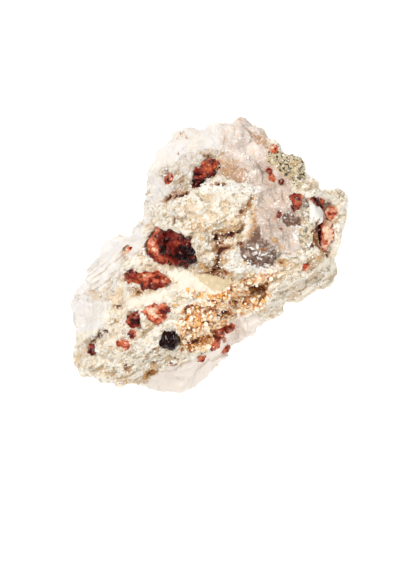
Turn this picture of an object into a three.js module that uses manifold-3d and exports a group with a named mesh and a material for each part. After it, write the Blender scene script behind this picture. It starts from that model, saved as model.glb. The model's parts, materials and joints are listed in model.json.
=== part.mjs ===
// Garnets on their matrix: a chip of white feldspar and grey quartz, with red garnet crystals grown in it.
// Millimetres, +Z up. The lump lies on its flat foot at z = 0, and the origin is under the middle of its box.
import * as THREE from "three";
import { ConvexGeometry } from "three/addons/geometries/ConvexGeometry.js";
import { ImprovedNoise } from "three/addons/math/ImprovedNoise.js";
import { mergeVertices } from "three/addons/utils/BufferGeometryUtils.js";
import Module from "manifold-3d";

// Driving dimensions.
const SURFACE_DETAIL = 15; // cuts across each edge of the icosahedron that the rock's skin starts from
const RIM_LEVEL = -0.2; // height on that ball of radius 1 where the upper side meets the wall
const FOOT_LEVEL = -0.6; // and where the wall meets the underside
const FOOT_SHARE = 0.86; // the underside's outline as a share of the widest one
const EDGE_ROUNDING = 0.35; // how softly two broken faces meet
const SOCKET_GAP = 0.28; // between a garnet and the rock round it
const CRYSTAL_LEAN = [0.5, 0.35, 0.2]; // radians about X, Y and Z, so that no crystal stands square
const BROKEN_TILT = 0.8; // how closely a broken garnet's face follows the slope of the rock round it
const BROKEN_EDGE = 0.1; // how far its rim stands out of the rock
const BROKEN_CROWN = 0.55; // its highest and lowest corners, as a share of the way from the middle to the rim
const BROKEN_ROOT = 0.65;
const FOLIATION = { strike: 33, dip: 62, spacing: 3.3, step: 0.75 }; // layers that break as ledges
const WAVER = { long: 7, share: 0.55 }; // how the layers bend, as a share of their spacing
const SCOOPS = { spacing: 5.2, depth: 1.5 }; // shell-shaped hollows of the broken faces
const CHIPS = { spacing: 1.7, depth: 0.32 };

// The widest outline seen from above, from the right-hand tip and counter-clockwise.
const OUTLINE = [
  [21.9, 7.8], [21.6, 9.5], [21.1, 10.6], [20.3, 10.7], [19.2, 10.1], [17.8, 11.1], [16.3, 12.3], [14.9, 13.3],
  [14.3, 14.3], [14.2, 15.3], [13.4, 16.0], [12.3, 16.3], [11.2, 17.6], [10.1, 18.4], [9.1, 18.8], [7.6, 20.4],
  [6.6, 20.4], [5.4, 21.2], [4.3, 21.7], [2.7, 21.4], [1.2, 20.5], [-0.6, 20.3], [-2.6, 20.7], [-4.7, 20.8],
  [-5.4, 20.0], [-6.2, 18.4], [-7.6, 16.5], [-8.7, 15.2], [-9.5, 13.0], [-10.0, 10.9], [-10.1, 8.4], [-10.0, 6.8],
  [-10.5, 5.0], [-11.6, 4.5], [-12.3, 3.4], [-13.8, 2.9], [-15.1, 2.8], [-16.3, 1.9], [-17.6, 0.1], [-18.9, -1.4],
  [-19.9, -3.0], [-20.4, -4.7], [-21.0, -5.7], [-21.7, -7.4], [-22.0, -9.4], [-21.4, -11.1], [-21.1, -12.6],
  [-21.9, -14.2], [-21.9, -15.3], [-20.9, -17.5], [-19.8, -18.3], [-17.0, -19.3], [-14.6, -20.1], [-13.4, -19.8],
  [-12.0, -20.4], [-10.3, -20.3], [-9.0, -21.0], [-7.0, -21.4], [-4.6, -21.8], [-3.9, -21.1], [-2.1, -20.1],
  [0.1, -18.1], [2.3, -16.0], [4.3, -14.0], [6.7, -12.0], [7.5, -10.6], [9.6, -9.5], [11.3, -8.4], [12.0, -7.3],
  [13.3, -7.1], [14.9, -7.5], [15.2, -6.0], [17.3, -5.1], [19.2, -4.1], [19.6, -3.0], [20.0, -2.1], [19.9, -0.2],
  [20.4, 2.0], [21.1, 4.6],
];

// Broken faces. Each has a point on it, the bearing that it falls towards (degrees from +X) and how steeply (degrees).
const face = (x, y, z, falls, slope) => ({ x, y, z, falls, slope });
const UPPER_MASS = [
  face(4, 9, 22.6, 20, 6), // crown of the feldspar
  face(-7, 11, 19.5, 178, 60), // left flank
  face(-5, 17, 17, 128, 44),
  face(2, 17, 19.5, 92, 30), // back slope
  face(2, 20, 16, 96, 62),
  face(9, 17, 18, 51, 55), // steep face at the back right
  face(9, 11, 21.3, 45, 22), // quartz dome
  face(13, 6, 20, 5, 26),
  face(20.5, 6, 15, 8, 60), // right-hand tip
  face(15, -1, 16.6, 320, 50), // banded slope at the front right
  face(7, -2.5, 18.3, 292, 44),
  face(-3.5, 1.2, 19.3, 238, 58), // step down to the lower mass
];
const LOWER_MASS = [
  face(-6, -4, 17, 250, 9), // shelf
  face(-16, -3, 15, 152, 44), // left slope
  face(-18.5, -9, 13, 188, 46), // smooth cleaved face
  face(-14, -16.5, 12.8, 258, 46), // front left
  face(0, -18, 5, 315.6, 62), // slab of clean quartz along the front
  face(-7, -20.5, 7, 275, 58),
  face(9, -8.5, 10.5, 305, 55),
];
// The same for the underside, where each face rises towards its bearing.
const UNDERSIDE = [
  face(0, 11, 0.2, 92, 24),
  face(-4, 9, 0.2, 160, 22),
  face(-15, -7, 0.2, 195, 24),
  face(10, 9, 0.2, 42, 22),
  face(14, 2, 0.2, 355, 24),
  face(5.5, -8, 0.2, 318, 20),
  face(-11, -14, 0.2, 262, 20),
];

// Ridges and hollows on the upper side: from one point to another, half as wide as given, raised or sunk.
const stroke = (x0, y0, x1, y1, wide, rise) => ({ x0, y0, x1, y1, wide, rise });
const RELIEF = [
  stroke(-5.4, 8, 5, 9.4, 3.2, 1.2), // bulge of feldspar across the crown
  stroke(-1.4, 3.4, 0, -0.6, 2, 1.3),
  stroke(-7.2, 9.4, -3, 11, 1.5, -1.2), // crack behind the bulge
  stroke(0.9, 3.2, 4.9, 4.3, 1.6, -2), // cracks in front of it
  stroke(1, -1.4, 2.4, 1.9, 1.6, -2.2),
  stroke(6.4, 9, 5.6, 5.2, 1.7, -1.1), // foot of the bulge on the quartz
  stroke(5.5, 1.2, 9.5, 0.2, 2.8, -1.2), // smoky hollow in the quartz
  stroke(-0.5, 20.5, 0.5, 15.5, 2.8, -1.2), // dip in the back edge
  stroke(4.2, 20.5, 4.6, 14, 2.4, 0.8),
  stroke(11, 15.4, 13.4, 14.8, 2, 1.2), // crusted knob
  stroke(14.6, 12.8, 17, 11, 1.6, -1.2),
  stroke(15.9, 9.4, 16.7, 4, 1.9, 0.8), // blade beside the right-hand hollow
  stroke(18.4, 7.8, 18.2, 1.8, 1.9, -2.4), // right-hand hollow
  stroke(21, 9.6, 20.8, 2.4, 1.7, 0.9), // outer rim of that hollow
  stroke(8.6, -6.8, 16.6, 0.4, 1.6, 1), // bands along the front right
  stroke(11, -6.6, 18.6, -1.2, 1.4, -1.1),
  stroke(15, -5.2, 19, -3.3, 1.4, 0.9),
  stroke(5.6, -5.4, 8.2, -5.2, 1.8, -2.2), // crumbly trough
  stroke(-3.8, -12.8, 1, -11.6, 2.6, -1.5),
  stroke(-1, -8.6, 2.8, -8.6, 1.7, -1.5),
  stroke(0, -3.9, 3.4, -4.2, 1.8, 0.9), // cleaved plate of feldspar
  stroke(-9.5, -5.8, -1.5, -5.2, 1.6, 1), // ridge of the shelf
  stroke(-14.4, -8.3, -13.6, -5.8, 1.6, -0.9),
  stroke(-17.6, -12.8, -12.6, -10.8, 1.6, -1.1),
  stroke(-16.8, -14.8, -8.6, -14.2, 1.8, 0.9),
];

// Garnets as whole crystals: where, how long, wide and deep, the turn of the long side, and how far they stand out.
const grown = (habit, x, y, size, turn, stands) => ({ habit, x, y, size, turn, stands });
// Garnets as broken pieces: the corners seen from above, how far the middle stands out, and how deep they go.
const broken = (corners, stands, deep) => ({ habit: "broken", corners, stands, deep });
const GARNETS = {
  big_garnet: [
    broken([[-8.1, 4.5], [-7.1, 4.7], [-5.9, 4.4], [-4.2, 3.5], [-3.1, 2.8], [-2.3, 1], [-2.8, -0.5], [-4.2, -1],
      [-6.6, -0.9], [-7.8, 0.4]], 1.2, 3.4),
    broken([[-8.4, 5.1], [-7.4, 4], [-7.2, -0.7], [-8.7, -0.5], [-9.9, 0.4], [-10.1, 2.1], [-9, 3.1]], 0.7, 2.2),
  ],
  upper_garnets: [
    broken([[-1.3, 14.8], [-0.2, 15.8], [0.7, 16], [1.3, 14.8], [0.6, 13.7], [-0.4, 13.4], [-1.2, 13.7]], 0.8, 1.6),
    grown("trapezohedron", -1.6, 13.7, [1.8, 1.5, 1.6], 30, 0.5),
    grown("dodecahedron", -1.95, 12.6, [1.7, 1.9, 1.8], 10, 0.6),
    grown("dodecahedron", -1.8, 11.5, [1.8, 1.8, 1.8], 70, 0.6),
  ],
  left_garnet: [grown("trapezohedron", -6.4, 12.4, [1.5, 1.4, 1.5], 20, 0.5)],
  shelf_garnets: [
    grown("dodecahedron", -12.1, -2.9, [2.4, 2.2, 2.4], 25, 0.9),
    broken([[-11.3, -2.6], [-10.4, -2.5], [-8.6, -2.4], [-7.5, -2.9], [-6.6, -3.7], [-7.4, -4.4], [-9.2, -4.8],
      [-10.7, -4.9], [-11.4, -3.9]], 0.9, 2),
  ],
  dark_garnet: [grown("dodecahedron", -11.95, -10, [2.3, 2, 2.2], -10, 0.7)],
  ring_garnet: [
    broken([[-10.2, -8.6], [-9.3, -7.8], [-8, -7.8], [-7, -7.8], [-6.5, -8.2], [-7.5, -9.4], [-8.3, -10.1],
      [-9.5, -9.6]], 0.5, 1.4),
  ],
  black_garnet: [grown("dodecahedron", -6.4, -13.1, [2.9, 2.8, 2.8], 18, 1.2)],
  red_bead_garnet: [grown("dodecahedron", -12.4, -11.95, [1, 0.8, 1], 70, 0.4)],
  corner_garnet: [grown("trapezohedron", -18.6, -14.3, [1.8, 1.4, 1.6], 100, 0.8)],
  brown_garnets: [
    grown("dodecahedron", -14.2, -13.5, [1.4, 0.9, 1], 10, 0.4),
    grown("dodecahedron", -13.4, -13.9, [1.2, 1.1, 1], 40, 0.4),
  ],
  slim_garnet: [grown("trapezohedron", -13, 1.1, [1.7, 0.8, 0.9], 62, 0.3)],
  right_garnet: [
    broken([[13, 9.8], [13.8, 10.1], [14.5, 9.9], [14.7, 9], [14.3, 8.1], [13.6, 7.5], [13.2, 8.2]], 0.8, 1.8),
  ],
  blade_garnet: [
    broken([[15.9, 9.7], [16.6, 9.9], [17.4, 9.4], [18.1, 8.4], [18.1, 7.7], [17.2, 8.2], [16.3, 9]], 0.7, 1.6),
  ],
  rim_garnet: [grown("trapezohedron", 19.3, 7.4, [2, 1.6, 1.8], 60, 0.8)],
  peach_garnet: [
    broken([[17.7, 5.9], [18.8, 6.2], [19.7, 5.4], [19.9, 3.4], [19.2, 1.6], [18, 0.8], [17.4, 2.2], [17.4, 4.2]],
      1.4, 1.8),
  ],
  quartz_garnet_1: [grown("dodecahedron", 9.4, 13.7, [0.9, 0.8, 0.9], 0, 0.35)],
  quartz_garnet_2: [grown("dodecahedron", 9.85, 12.5, [1.2, 0.8, 1], 105, 0.4)],
  quartz_garnet_3: [grown("dodecahedron", 11.4, 12, [0.8, 0.7, 0.8], 50, 0.3)],
  quartz_garnet_4: [grown("dodecahedron", 11.1, 7, [0.9, 0.6, 0.8], 80, 0.3)],
  orange_garnet: [grown("dodecahedron", 15.2, -1.4, [0.9, 0.8, 0.9], 20, 0.4)],
  back_garnet: [grown("dodecahedron", 10, 17.3, [1.4, 1, 1.1], -35, 0.4)],
  slab_garnet_1: [grown("dodecahedron", 3.2, -11.1, [1.6, 0.9, 1.1], 58, 0.5)],
  slab_garnet_2: [grown("dodecahedron", 0.8, -13.6, [1.8, 1, 1.2], 62, 0.5)],
  slab_garnet_3: [grown("dodecahedron", 2.7, -14.5, [1.1, 0.9, 1], 50, 0.4)],
  slab_garnet_4: [grown("dodecahedron", -1.2, -15.8, [1, 0.9, 1], 90, 0.4)],
  resin_garnet: [grown("trapezohedron", 1.6, -11.6, [2.2, 1.3, 1.4], 80, 0.5)],
};

const noise = new ImprovedNoise();
const radians = THREE.MathUtils.degToRad;
const share = THREE.MathUtils.inverseLerp;
const { clamp, lerp } = THREE.MathUtils;

// The lower of two heights, rounded where they are close.
function softMin(a, b) {
  const near = Math.max(EDGE_ROUNDING - Math.abs(a - b), 0);
  return Math.min(a, b) - (near * near) / (4 * EDGE_ROUNDING);
}

function heightOnFace({ x, y, z, falls, slope }, px, py) {
  const along = (px - x) * Math.cos(radians(falls)) + (py - y) * Math.sin(radians(falls));
  return z - along * Math.tan(radians(slope));
}

const massHeight = (faces, x, y) => faces.map((f) => heightOnFace(f, x, y)).reduce(softMin);

function reliefHeight(x, y) {
  let rise = 0;
  for (const s of RELIEF) {
    const dx = s.x1 - s.x0;
    const dy = s.y1 - s.y0;
    const t = clamp(((x - s.x0) * dx + (y - s.y0) * dy) / (dx * dx + dy * dy), 0, 1);
    const away = Math.hypot(x - s.x0 - t * dx, y - s.y0 - t * dy) / s.wide;
    rise += s.rise * THREE.MathUtils.smoothstep(1 - away, 0, 1);
  }
  return rise;
}

// Height of the upper side over a point of the plan, before the chips and ledges.
function upperHeight(x, y) {
  return Math.max(massHeight(UPPER_MASS, x, y), massHeight(LOWER_MASS, x, y)) + reliefHeight(x, y);
}

function underHeight(x, y) {
  return Math.max(0, ...UNDERSIDE.map((f) => 2 * f.z - heightOnFace(f, x, y)));
}

// How far the outline is from the origin at a bearing.
function outlineReach(bearing) {
  const ux = Math.cos(bearing);
  const uy = Math.sin(bearing);
  for (let i = 0; i < OUTLINE.length; i++) {
    const [px, py] = OUTLINE[i];
    const [qx, qy] = OUTLINE[(i + 1) % OUTLINE.length];
    const ex = qx - px;
    const ey = qy - py;
    const turn = ux * ey - uy * ex;
    const reach = (px * ey - py * ex) / turn;
    const along = (px * uy - py * ux) / turn;
    if (turn > 0 && along >= 0 && along <= 1) return reach;
  }
  throw new Error("the outline doesn't go round the origin");
}

// Where a point of the starting ball goes. Its level runs from -1 at the bottom to 1 at the top.
function facePoint(bearing, level) {
  const reach = outlineReach(bearing);
  const at = (part) => [part * reach * Math.cos(bearing), part * reach * Math.sin(bearing)];
  if (level >= RIM_LEVEL) {
    const [x, y] = at(Math.sqrt(share(1, RIM_LEVEL, level)));
    return new THREE.Vector3(x, y, upperHeight(x, y));
  }
  if (level <= FOOT_LEVEL) {
    const [x, y] = at(FOOT_SHARE * Math.sqrt(share(-1, FOOT_LEVEL, level)));
    return new THREE.Vector3(x, y, underHeight(x, y));
  }
  const down = share(RIM_LEVEL, FOOT_LEVEL, level);
  const z = lerp(upperHeight(...at(1)), underHeight(...at(FOOT_SHARE)), down);
  return new THREE.Vector3(...at(1 - (1 - FOOT_SHARE) * down * down), z);
}

// A number from 0 to 1 that stays the same for one cell of a grid in space.
function cellNumber(x, y, z, which) {
  const mixed = Math.sin(x * 127.1 + y * 311.7 + z * 74.7 + which * 191.3) * 43758.5453;
  return mixed - Math.floor(mixed);
}

// Distance to the nearest of the points strewn one to a grid cell, in cells.
function strewnDistance(point, spacing) {
  const p = point.clone().divideScalar(spacing);
  const home = p.clone().floor();
  let nearest = Infinity;
  for (let i = -1; i <= 1; i++) {
    for (let j = -1; j <= 1; j++) {
      for (let k = -1; k <= 1; k++) {
        const [x, y, z] = [home.x + i, home.y + j, home.z + k];
        const middle = new THREE.Vector3(
          x + cellNumber(x, y, z, 1),
          y + cellNumber(x, y, z, 2),
          z + cellNumber(x, y, z, 3),
        );
        nearest = Math.min(nearest, middle.distanceTo(p));
      }
    }
  }
  return nearest;
}

// How far a broken face stands out or in at a point in space: hollows with sharp ridges between, and ledges.
function brokenRise(p) {
  const across = radians(FOLIATION.strike - 90);
  const dip = radians(FOLIATION.dip);
  const layer = new THREE.Vector3(Math.cos(across) * Math.sin(dip), Math.sin(across) * Math.sin(dip), Math.cos(dip));
  const waver = WAVER.share * noise.noise(p.x / WAVER.long, p.y / WAVER.long, p.z / WAVER.long);
  const turn = p.dot(layer) / FOLIATION.spacing + waver;
  const ledge = FOLIATION.step * (turn - Math.floor(turn) - 0.5);
  const hollow = (g) => g.depth * (strewnDistance(p, g.spacing) - 0.5);
  return ledge + hollow(SCOOPS) + hollow(CHIPS);
}

function rockGeometry() {
  const ball = new THREE.IcosahedronGeometry(1, SURFACE_DETAIL);
  ball.deleteAttribute("normal");
  ball.deleteAttribute("uv");
  const skin = mergeVertices(ball, 1e-4);
  const place = skin.attributes.position;
  for (let i = 0; i < place.count; i++) {
    const bearing = Math.atan2(place.getY(i), place.getX(i));
    place.setXYZ(i, ...facePoint(bearing, place.getZ(i)));
  }
  skin.computeVertexNormals();
  const outward = new THREE.Vector3();
  const point = new THREE.Vector3();
  for (let i = 0; i < place.count; i++) {
    point.fromBufferAttribute(place, i);
    if (point.z === 0) continue; // the foot stays flat
    outward.fromBufferAttribute(skin.attributes.normal, i);
    point.addScaledVector(outward, brokenRise(point));
    place.setXYZ(i, point.x, point.y, Math.max(point.z, 0));
  }
  skin.computeBoundingSphere();
  return skin;
}

const skin = new THREE.Mesh(rockGeometry(), new THREE.MeshStandardMaterial({ side: THREE.DoubleSide }));

// Height of the finished rock over a point of the plan.
function rockHeight(x, y) {
  const above = new THREE.Vector3(x, y, 100);
  const [hit] = new THREE.Raycaster(above, new THREE.Vector3(0, 0, -1)).intersectObject(skin);
  return hit.point.z;
}

// Corners of garnet's two usual crystal forms, in a ball of radius 1.
function crystalCorners(habit) {
  const corners = [];
  const ends = [-1, 1];
  const axes = [[1, 0, 0], [0, 1, 0], [0, 0, 1]];
  for (const [x, y, z] of axes) for (const s of ends) corners.push([s * x, s * y, s * z]);
  for (const x of ends) for (const y of ends) for (const z of ends) corners.push([x / 2, y / 2, z / 2]);
  if (habit === "trapezohedron") {
    const side = 2 / 3;
    for (const a of ends) {
      for (const b of ends) {
        corners.push([a * side, b * side, 0], [a * side, 0, b * side], [0, a * side, b * side]);
      }
    }
  }
  return corners.map((c) => new THREE.Vector3(...c));
}

// The corners of a garnet, or of its socket where a margin is given.
function grownCorners({ habit, x, y, size, turn, stands }, margin) {
  const lean = new THREE.Euler(...CRYSTAL_LEAN);
  const points = crystalCorners(habit).map((p) => p.applyEuler(lean));
  const extent = new THREE.Box3().setFromPoints(points).getSize(new THREE.Vector3());
  const scale = new THREE.Vector3(...size).addScalar(2 * margin).divide(extent);
  const spin = new THREE.Quaternion().setFromAxisAngle(new THREE.Vector3(0, 0, 1), radians(turn));
  const middle = new THREE.Vector3(x, y, rockHeight(x, y) + stands - size[2] / 2);
  const place = new THREE.Matrix4().compose(middle, spin, scale);
  return points.map((p) => p.applyMatrix4(place));
}

function brokenCorners({ corners, stands, deep }, margin) {
  const middle = corners.reduce((sum, c) => sum.add(new THREE.Vector2(...c)), new THREE.Vector2());
  middle.divideScalar(corners.length);
  const midHeight = rockHeight(middle.x, middle.y);
  const points = [];
  for (const [x, y] of corners) {
    const height = rockHeight(x, y);
    const outward = new THREE.Vector2(x, y).sub(middle).normalize().multiplyScalar(margin);
    const ring = (part, rise) => {
      const px = lerp(middle.x, x, part) + outward.x;
      const py = lerp(middle.y, y, part) + outward.y;
      points.push(new THREE.Vector3(px, py, lerp(midHeight, height, BROKEN_TILT * part) + rise));
    };
    const uneven = 0.8 + 0.5 * noise.noise(x, y, 0);
    ring(1, BROKEN_EDGE + margin);
    ring(BROKEN_CROWN, stands * uneven + margin);
    ring(BROKEN_ROOT, -deep - margin);
  }
  return points;
}

const cornersOf = (piece, margin = 0) =>
  piece.habit === "broken" ? brokenCorners(piece, margin) : grownCorners(piece, margin);

const wasm = await Module();
wasm.setup();

function solid(geometry) {
  const bare = geometry.clone();
  bare.deleteAttribute("normal");
  bare.deleteAttribute("uv");
  const merged = mergeVertices(bare, 1e-4);
  return new wasm.Manifold(
    new wasm.Mesh({
      numProp: 3,
      vertProperties: new Float32Array(merged.attributes.position.array),
      triVerts: new Uint32Array(merged.index.array),
    }),
  );
}

function geometryOf(manifold) {
  const { vertProperties, triVerts } = manifold.getMesh();
  const geometry = new THREE.BufferGeometry();
  geometry.setAttribute("position", new THREE.BufferAttribute(vertProperties, 3));
  geometry.setIndex(new THREE.BufferAttribute(triVerts, 1));
  geometry.computeVertexNormals();
  return geometry;
}

const joined = (solids) => solids.reduce((all, next) => all.add(next));
const bodyOf = (pieces, margin) => joined(pieces.map((piece) => solid(new ConvexGeometry(cornersOf(piece, margin)))));

const rockMaterial = new THREE.MeshStandardMaterial({ color: 0xe6dfd2, roughness: 0.75, metalness: 0 });
const garnetMaterial = new THREE.MeshStandardMaterial({ color: 0x6e1710, roughness: 0.25, metalness: 0 });

const specimen = new THREE.Group();
let rock = solid(skin.geometry);
for (const [name, pieces] of Object.entries(GARNETS)) {
  const garnet = new THREE.Mesh(geometryOf(bodyOf(pieces)), garnetMaterial.clone());
  garnet.name = name;
  specimen.add(garnet);
  rock = rock.subtract(bodyOf(pieces, SOCKET_GAP));
}
const matrix = new THREE.Mesh(geometryOf(rock), rockMaterial);
matrix.name = "matrix";
specimen.add(matrix);

export default specimen;
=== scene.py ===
"""Garnets on their matrix: the broken feldspar and quartz, the garnets in it, its crumbs and its stage.

Places in the lists below are millimetres in the frame of the solids, +X right and +Y up as seen from above.
"""
import itertools
import json
import math

import bmesh
import bpy
import numpy as np
from mathutils import Matrix, Vector
from mathutils.bvhtree import BVHTree


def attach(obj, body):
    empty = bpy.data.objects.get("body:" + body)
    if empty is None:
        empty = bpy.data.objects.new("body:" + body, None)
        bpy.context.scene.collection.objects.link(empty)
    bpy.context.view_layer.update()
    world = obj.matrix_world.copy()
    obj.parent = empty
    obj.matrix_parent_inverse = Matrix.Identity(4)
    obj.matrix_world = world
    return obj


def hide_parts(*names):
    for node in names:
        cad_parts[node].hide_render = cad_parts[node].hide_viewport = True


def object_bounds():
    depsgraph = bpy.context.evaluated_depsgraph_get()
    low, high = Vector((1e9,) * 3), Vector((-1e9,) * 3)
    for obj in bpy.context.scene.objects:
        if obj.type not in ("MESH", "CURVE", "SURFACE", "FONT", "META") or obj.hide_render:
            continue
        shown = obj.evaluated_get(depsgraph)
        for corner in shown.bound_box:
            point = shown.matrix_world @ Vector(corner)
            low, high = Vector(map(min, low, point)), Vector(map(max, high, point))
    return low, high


bl_info = {
    "name": "Garnet on matrix",
    "version": (1, 0, 0),
    "blender": (4, 5, 0),
    "location": "3D View > Sidebar > Specimen",
    "description": "Builds the visible rock, garnets, crumbs and stage of a garnet specimen",
    "category": "Object",
}

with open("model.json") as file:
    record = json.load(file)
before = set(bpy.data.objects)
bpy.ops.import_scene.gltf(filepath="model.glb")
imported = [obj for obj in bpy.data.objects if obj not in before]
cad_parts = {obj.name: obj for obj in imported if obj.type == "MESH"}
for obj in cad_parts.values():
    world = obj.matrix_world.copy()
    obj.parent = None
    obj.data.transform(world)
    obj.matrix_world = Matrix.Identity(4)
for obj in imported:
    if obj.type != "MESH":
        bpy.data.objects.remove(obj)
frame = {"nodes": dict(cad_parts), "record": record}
SOLID_LOW, SOLID_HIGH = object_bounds()

MM = 0.001
WELD = 1e-6  # metres, between points of a solid that are one
ROCK_NODE = "matrix"
ROCK_PAST_BOX = (0.5, 0.4)  # how far the rock may pass the low and the high sides of the solids' box
FOLIATION_STRIKE = 33.0  # degrees from +X, seen from above
FOLIATION_DIP = 62.0  # degrees below level, towards the lower right
FOLIATION_LEAN = (-0.54, 0.84)  # the way that the layers lean as they go down, seen from above
CAMERA_HEIGHT = 1000.0
CAMERA_PLACE = (0.08, -3.81)
MEASURED_LEVEL = 10.0  # height of the level on which the places below are measured
PIXELS_PER_MM = 6.3  # on that level
PICTURE_LONG_SIDE = 563  # pixels
SENSOR = 36.0
FLOOR_SIZE = 3.0  # metres
LAMPS_AIM = (0, 0, 0.01)  # metres

# Areas of the rock, as corners seen from above
QUARTZ = [
    (2.2, 22.4), (4.3, 22.6), (7, 21.2), (9.6, 19.2), (9.6, 17), (10.2, 15.6), (11.2, 14.6), (12.2, 13),
    (12.9, 11.4), (13, 9.8), (12.8, 8.6), (13.6, 7.4), (14.4, 6.8), (14.5, 5.2), (13.9, 3.6), (14.8, 2.4),
    (14.6, 1.2), (12.8, 0.6), (11, 0.4), (10.5, -1.2), (8, -1.9), (6, -1.3), (5, 0.1), (4.7, 1.9),
    (5.6, 3), (6.3, 4.6), (6.9, 6.2), (7.2, 8), (7.4, 10.2), (6.2, 11.5), (4.4, 12), (2.6, 12.6),
    (1.6, 13.6), (1.5, 15.2), (2.4, 17), (2.1, 19.2),
]
SMOKY_QUARTZ = [
    [(4.9, 0.2), (4.8, 1.9), (5.4, 2.7), (6.2, 3.6), (7.2, 5), (7.9, 5.2), (8.2, 3.4), (9.7, 2.8), (10.6, 1.6),
     (10.6, -0.2), (10.1, -1.3), (8, -1.8), (6.4, -1.4), (5.4, -0.6)],
    [(11.4, 7.2), (13.4, 7.3), (14.4, 6), (14.2, 4.8), (12.5, 4.8), (11.6, 5.8)],
]
WARM_QUARTZ = [
    [(1.7, 15.1), (4.1, 14.8), (6.2, 13.4), (6.2, 11.8), (4.2, 11.6), (2.8, 12.4), (1.8, 13.4)],
    [(5.9, 3), (7.6, 3.2), (7.6, 5.2), (6.8, 5.2)],
    [(6.4, 20.4), (9.6, 18.4), (9.2, 17), (7.6, 17.8), (6.4, 19.4)],
]
PALE_QUARTZ = [(2, 22.6), (7.2, 21.4), (9, 19), (8.2, 17.4), (7.4, 14.6), (5.4, 15), (3.6, 16), (2.2, 16.6)]
COLD_FELDSPAR = [
    [(-11.5, 4.5), (-9.4, 5.4), (-8.2, 8), (-7.4, 8.8), (-5.8, 10.4), (-3.2, 11.2), (-2.8, 14), (-1.2, 15.6),
     (0.2, 16.6), (1.8, 16.6), (2.4, 19.4), (1.6, 22), (-6, 22), (-9, 17.5), (-11.5, 10.5)],
    [(-10.4, 5.4), (-16, 4), (-20, -1.2), (-22.5, -5.7), (-23, -9.4), (-22.4, -12), (-17.2, -11.2),
     (-15.9, -8.5), (-15.3, -5.8), (-14, -3.4), (-13.4, -0.6), (-11.8, 0.4), (-10.6, 1.2)],
]
CRUST = [
    (9.4, 17.7), (11.2, 17.9), (12.5, 16.6), (15, 15.6), (15, 13.6), (15.2, 12), (14.2, 11), (13.1, 11.8),
    (12.5, 12.8), (11.6, 13.2), (10.6, 14.4), (9.4, 15.3),
]
CRUMBLY_STRIP = [
    (14, 9.4), (15.2, 9.8), (16, 7.2), (16.6, 5.2), (16.3, 1.6), (14.9, 0.4), (14.6, 2.4), (13.8, 3.6),
    (14.4, 5.2), (14.2, 7.2),
]
TROUGH = [
    (9.8, -3.9), (9.6, -6.6), (8.6, -7.9), (6.2, -8.5), (4.6, -9.6), (3.4, -10), (2.4, -12.4), (0.6, -12.8),
    (0.2, -14.4), (-1.4, -14.4), (-3.6, -15.1), (-4.8, -14.6), (-4.7, -12.4), (-5.1, -10.2), (-4.5, -8.7),
    (-3.8, -7.8), (-2.2, -7.2), (-0.6, -6.6), (-2.6, -6.3), (-4, -6), (-3.8, -4.9), (-1.8, -5.4), (0.6, -5.8),
    (2.6, -5.5), (3.2, -4.4), (5, -3.7), (5.4, -2.6), (7.4, -1.9), (10.6, -1.6), (11.1, -2.6), (9.4, -3.2),
]
CLEAN_SLAB = [
    (-9.9, -20.1), (-9.2, -18.9), (-7.2, -17.6), (-4.4, -17.2), (-2, -16.3), (-0.4, -15.2), (0.4, -14.5),
    (1.5, -13.2), (2.5, -12.2), (3.3, -10.5), (4.3, -10), (5.4, -9.4), (7.2, -8.9), (9, -10.4), (3, -18),
    (-4.6, -24), (-10, -23),
]
# Cleaved or rubbed faces with little relief
SMOOTH_FACES = [
    [(-6.6, -2), (-1.8, -2.6), (3.6, -2.8), (3.4, -5.2), (-1.5, -5.4), (-5, -5), (-8, -5.6), (-12.6, -6.6),
     (-14.6, -8.6), (-9, -7.2), (-6.2, -6.6), (-7, -4.2)],
    [(-22.8, -7), (-16, -6.8), (-15.9, -9.2), (-16.8, -11), (-20.2, -12.6), (-22.8, -11.4)],
    [(-10.6, 5.6), (-8.6, 8.2), (-7.6, 10.6), (-8.2, 13.9), (-5.8, 14.8), (-3.6, 16.6), (-0.8, 17.2),
     (1.8, 17.6), (1.8, 21.6), (-6.4, 21.8), (-10.4, 16), (-11.2, 10)],
    [(-10.6, 4.6), (-16.8, 4.2), (-21, -1), (-23, -6), (-22.8, -13), (-19.4, -12.6), (-16.6, -10.6),
     (-15.9, -7), (-18.8, -6.8), (-19.6, -5.4), (-16.6, -4), (-14.2, -2.4), (-14, 1.2), (-11, 1)],
]
# A thin plate of feldspar that stands proud beside the right-hand hollow, and a yellowish one before the step
WHITE_BLADE = [(15.3, 10), (16.3, 8.8), (17.8, 6.8), (16.9, 5.8), (16.1, 5.6), (15.9, 7.6)]
YELLOW_PLATE = [
    (-2.6, -2.4), (0.2, -2.7), (2.6, -3.2), (3.9, -4), (3, -5), (0.8, -5.3), (-0.6, -4.5), (-1.7, -3.4),
]

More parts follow.
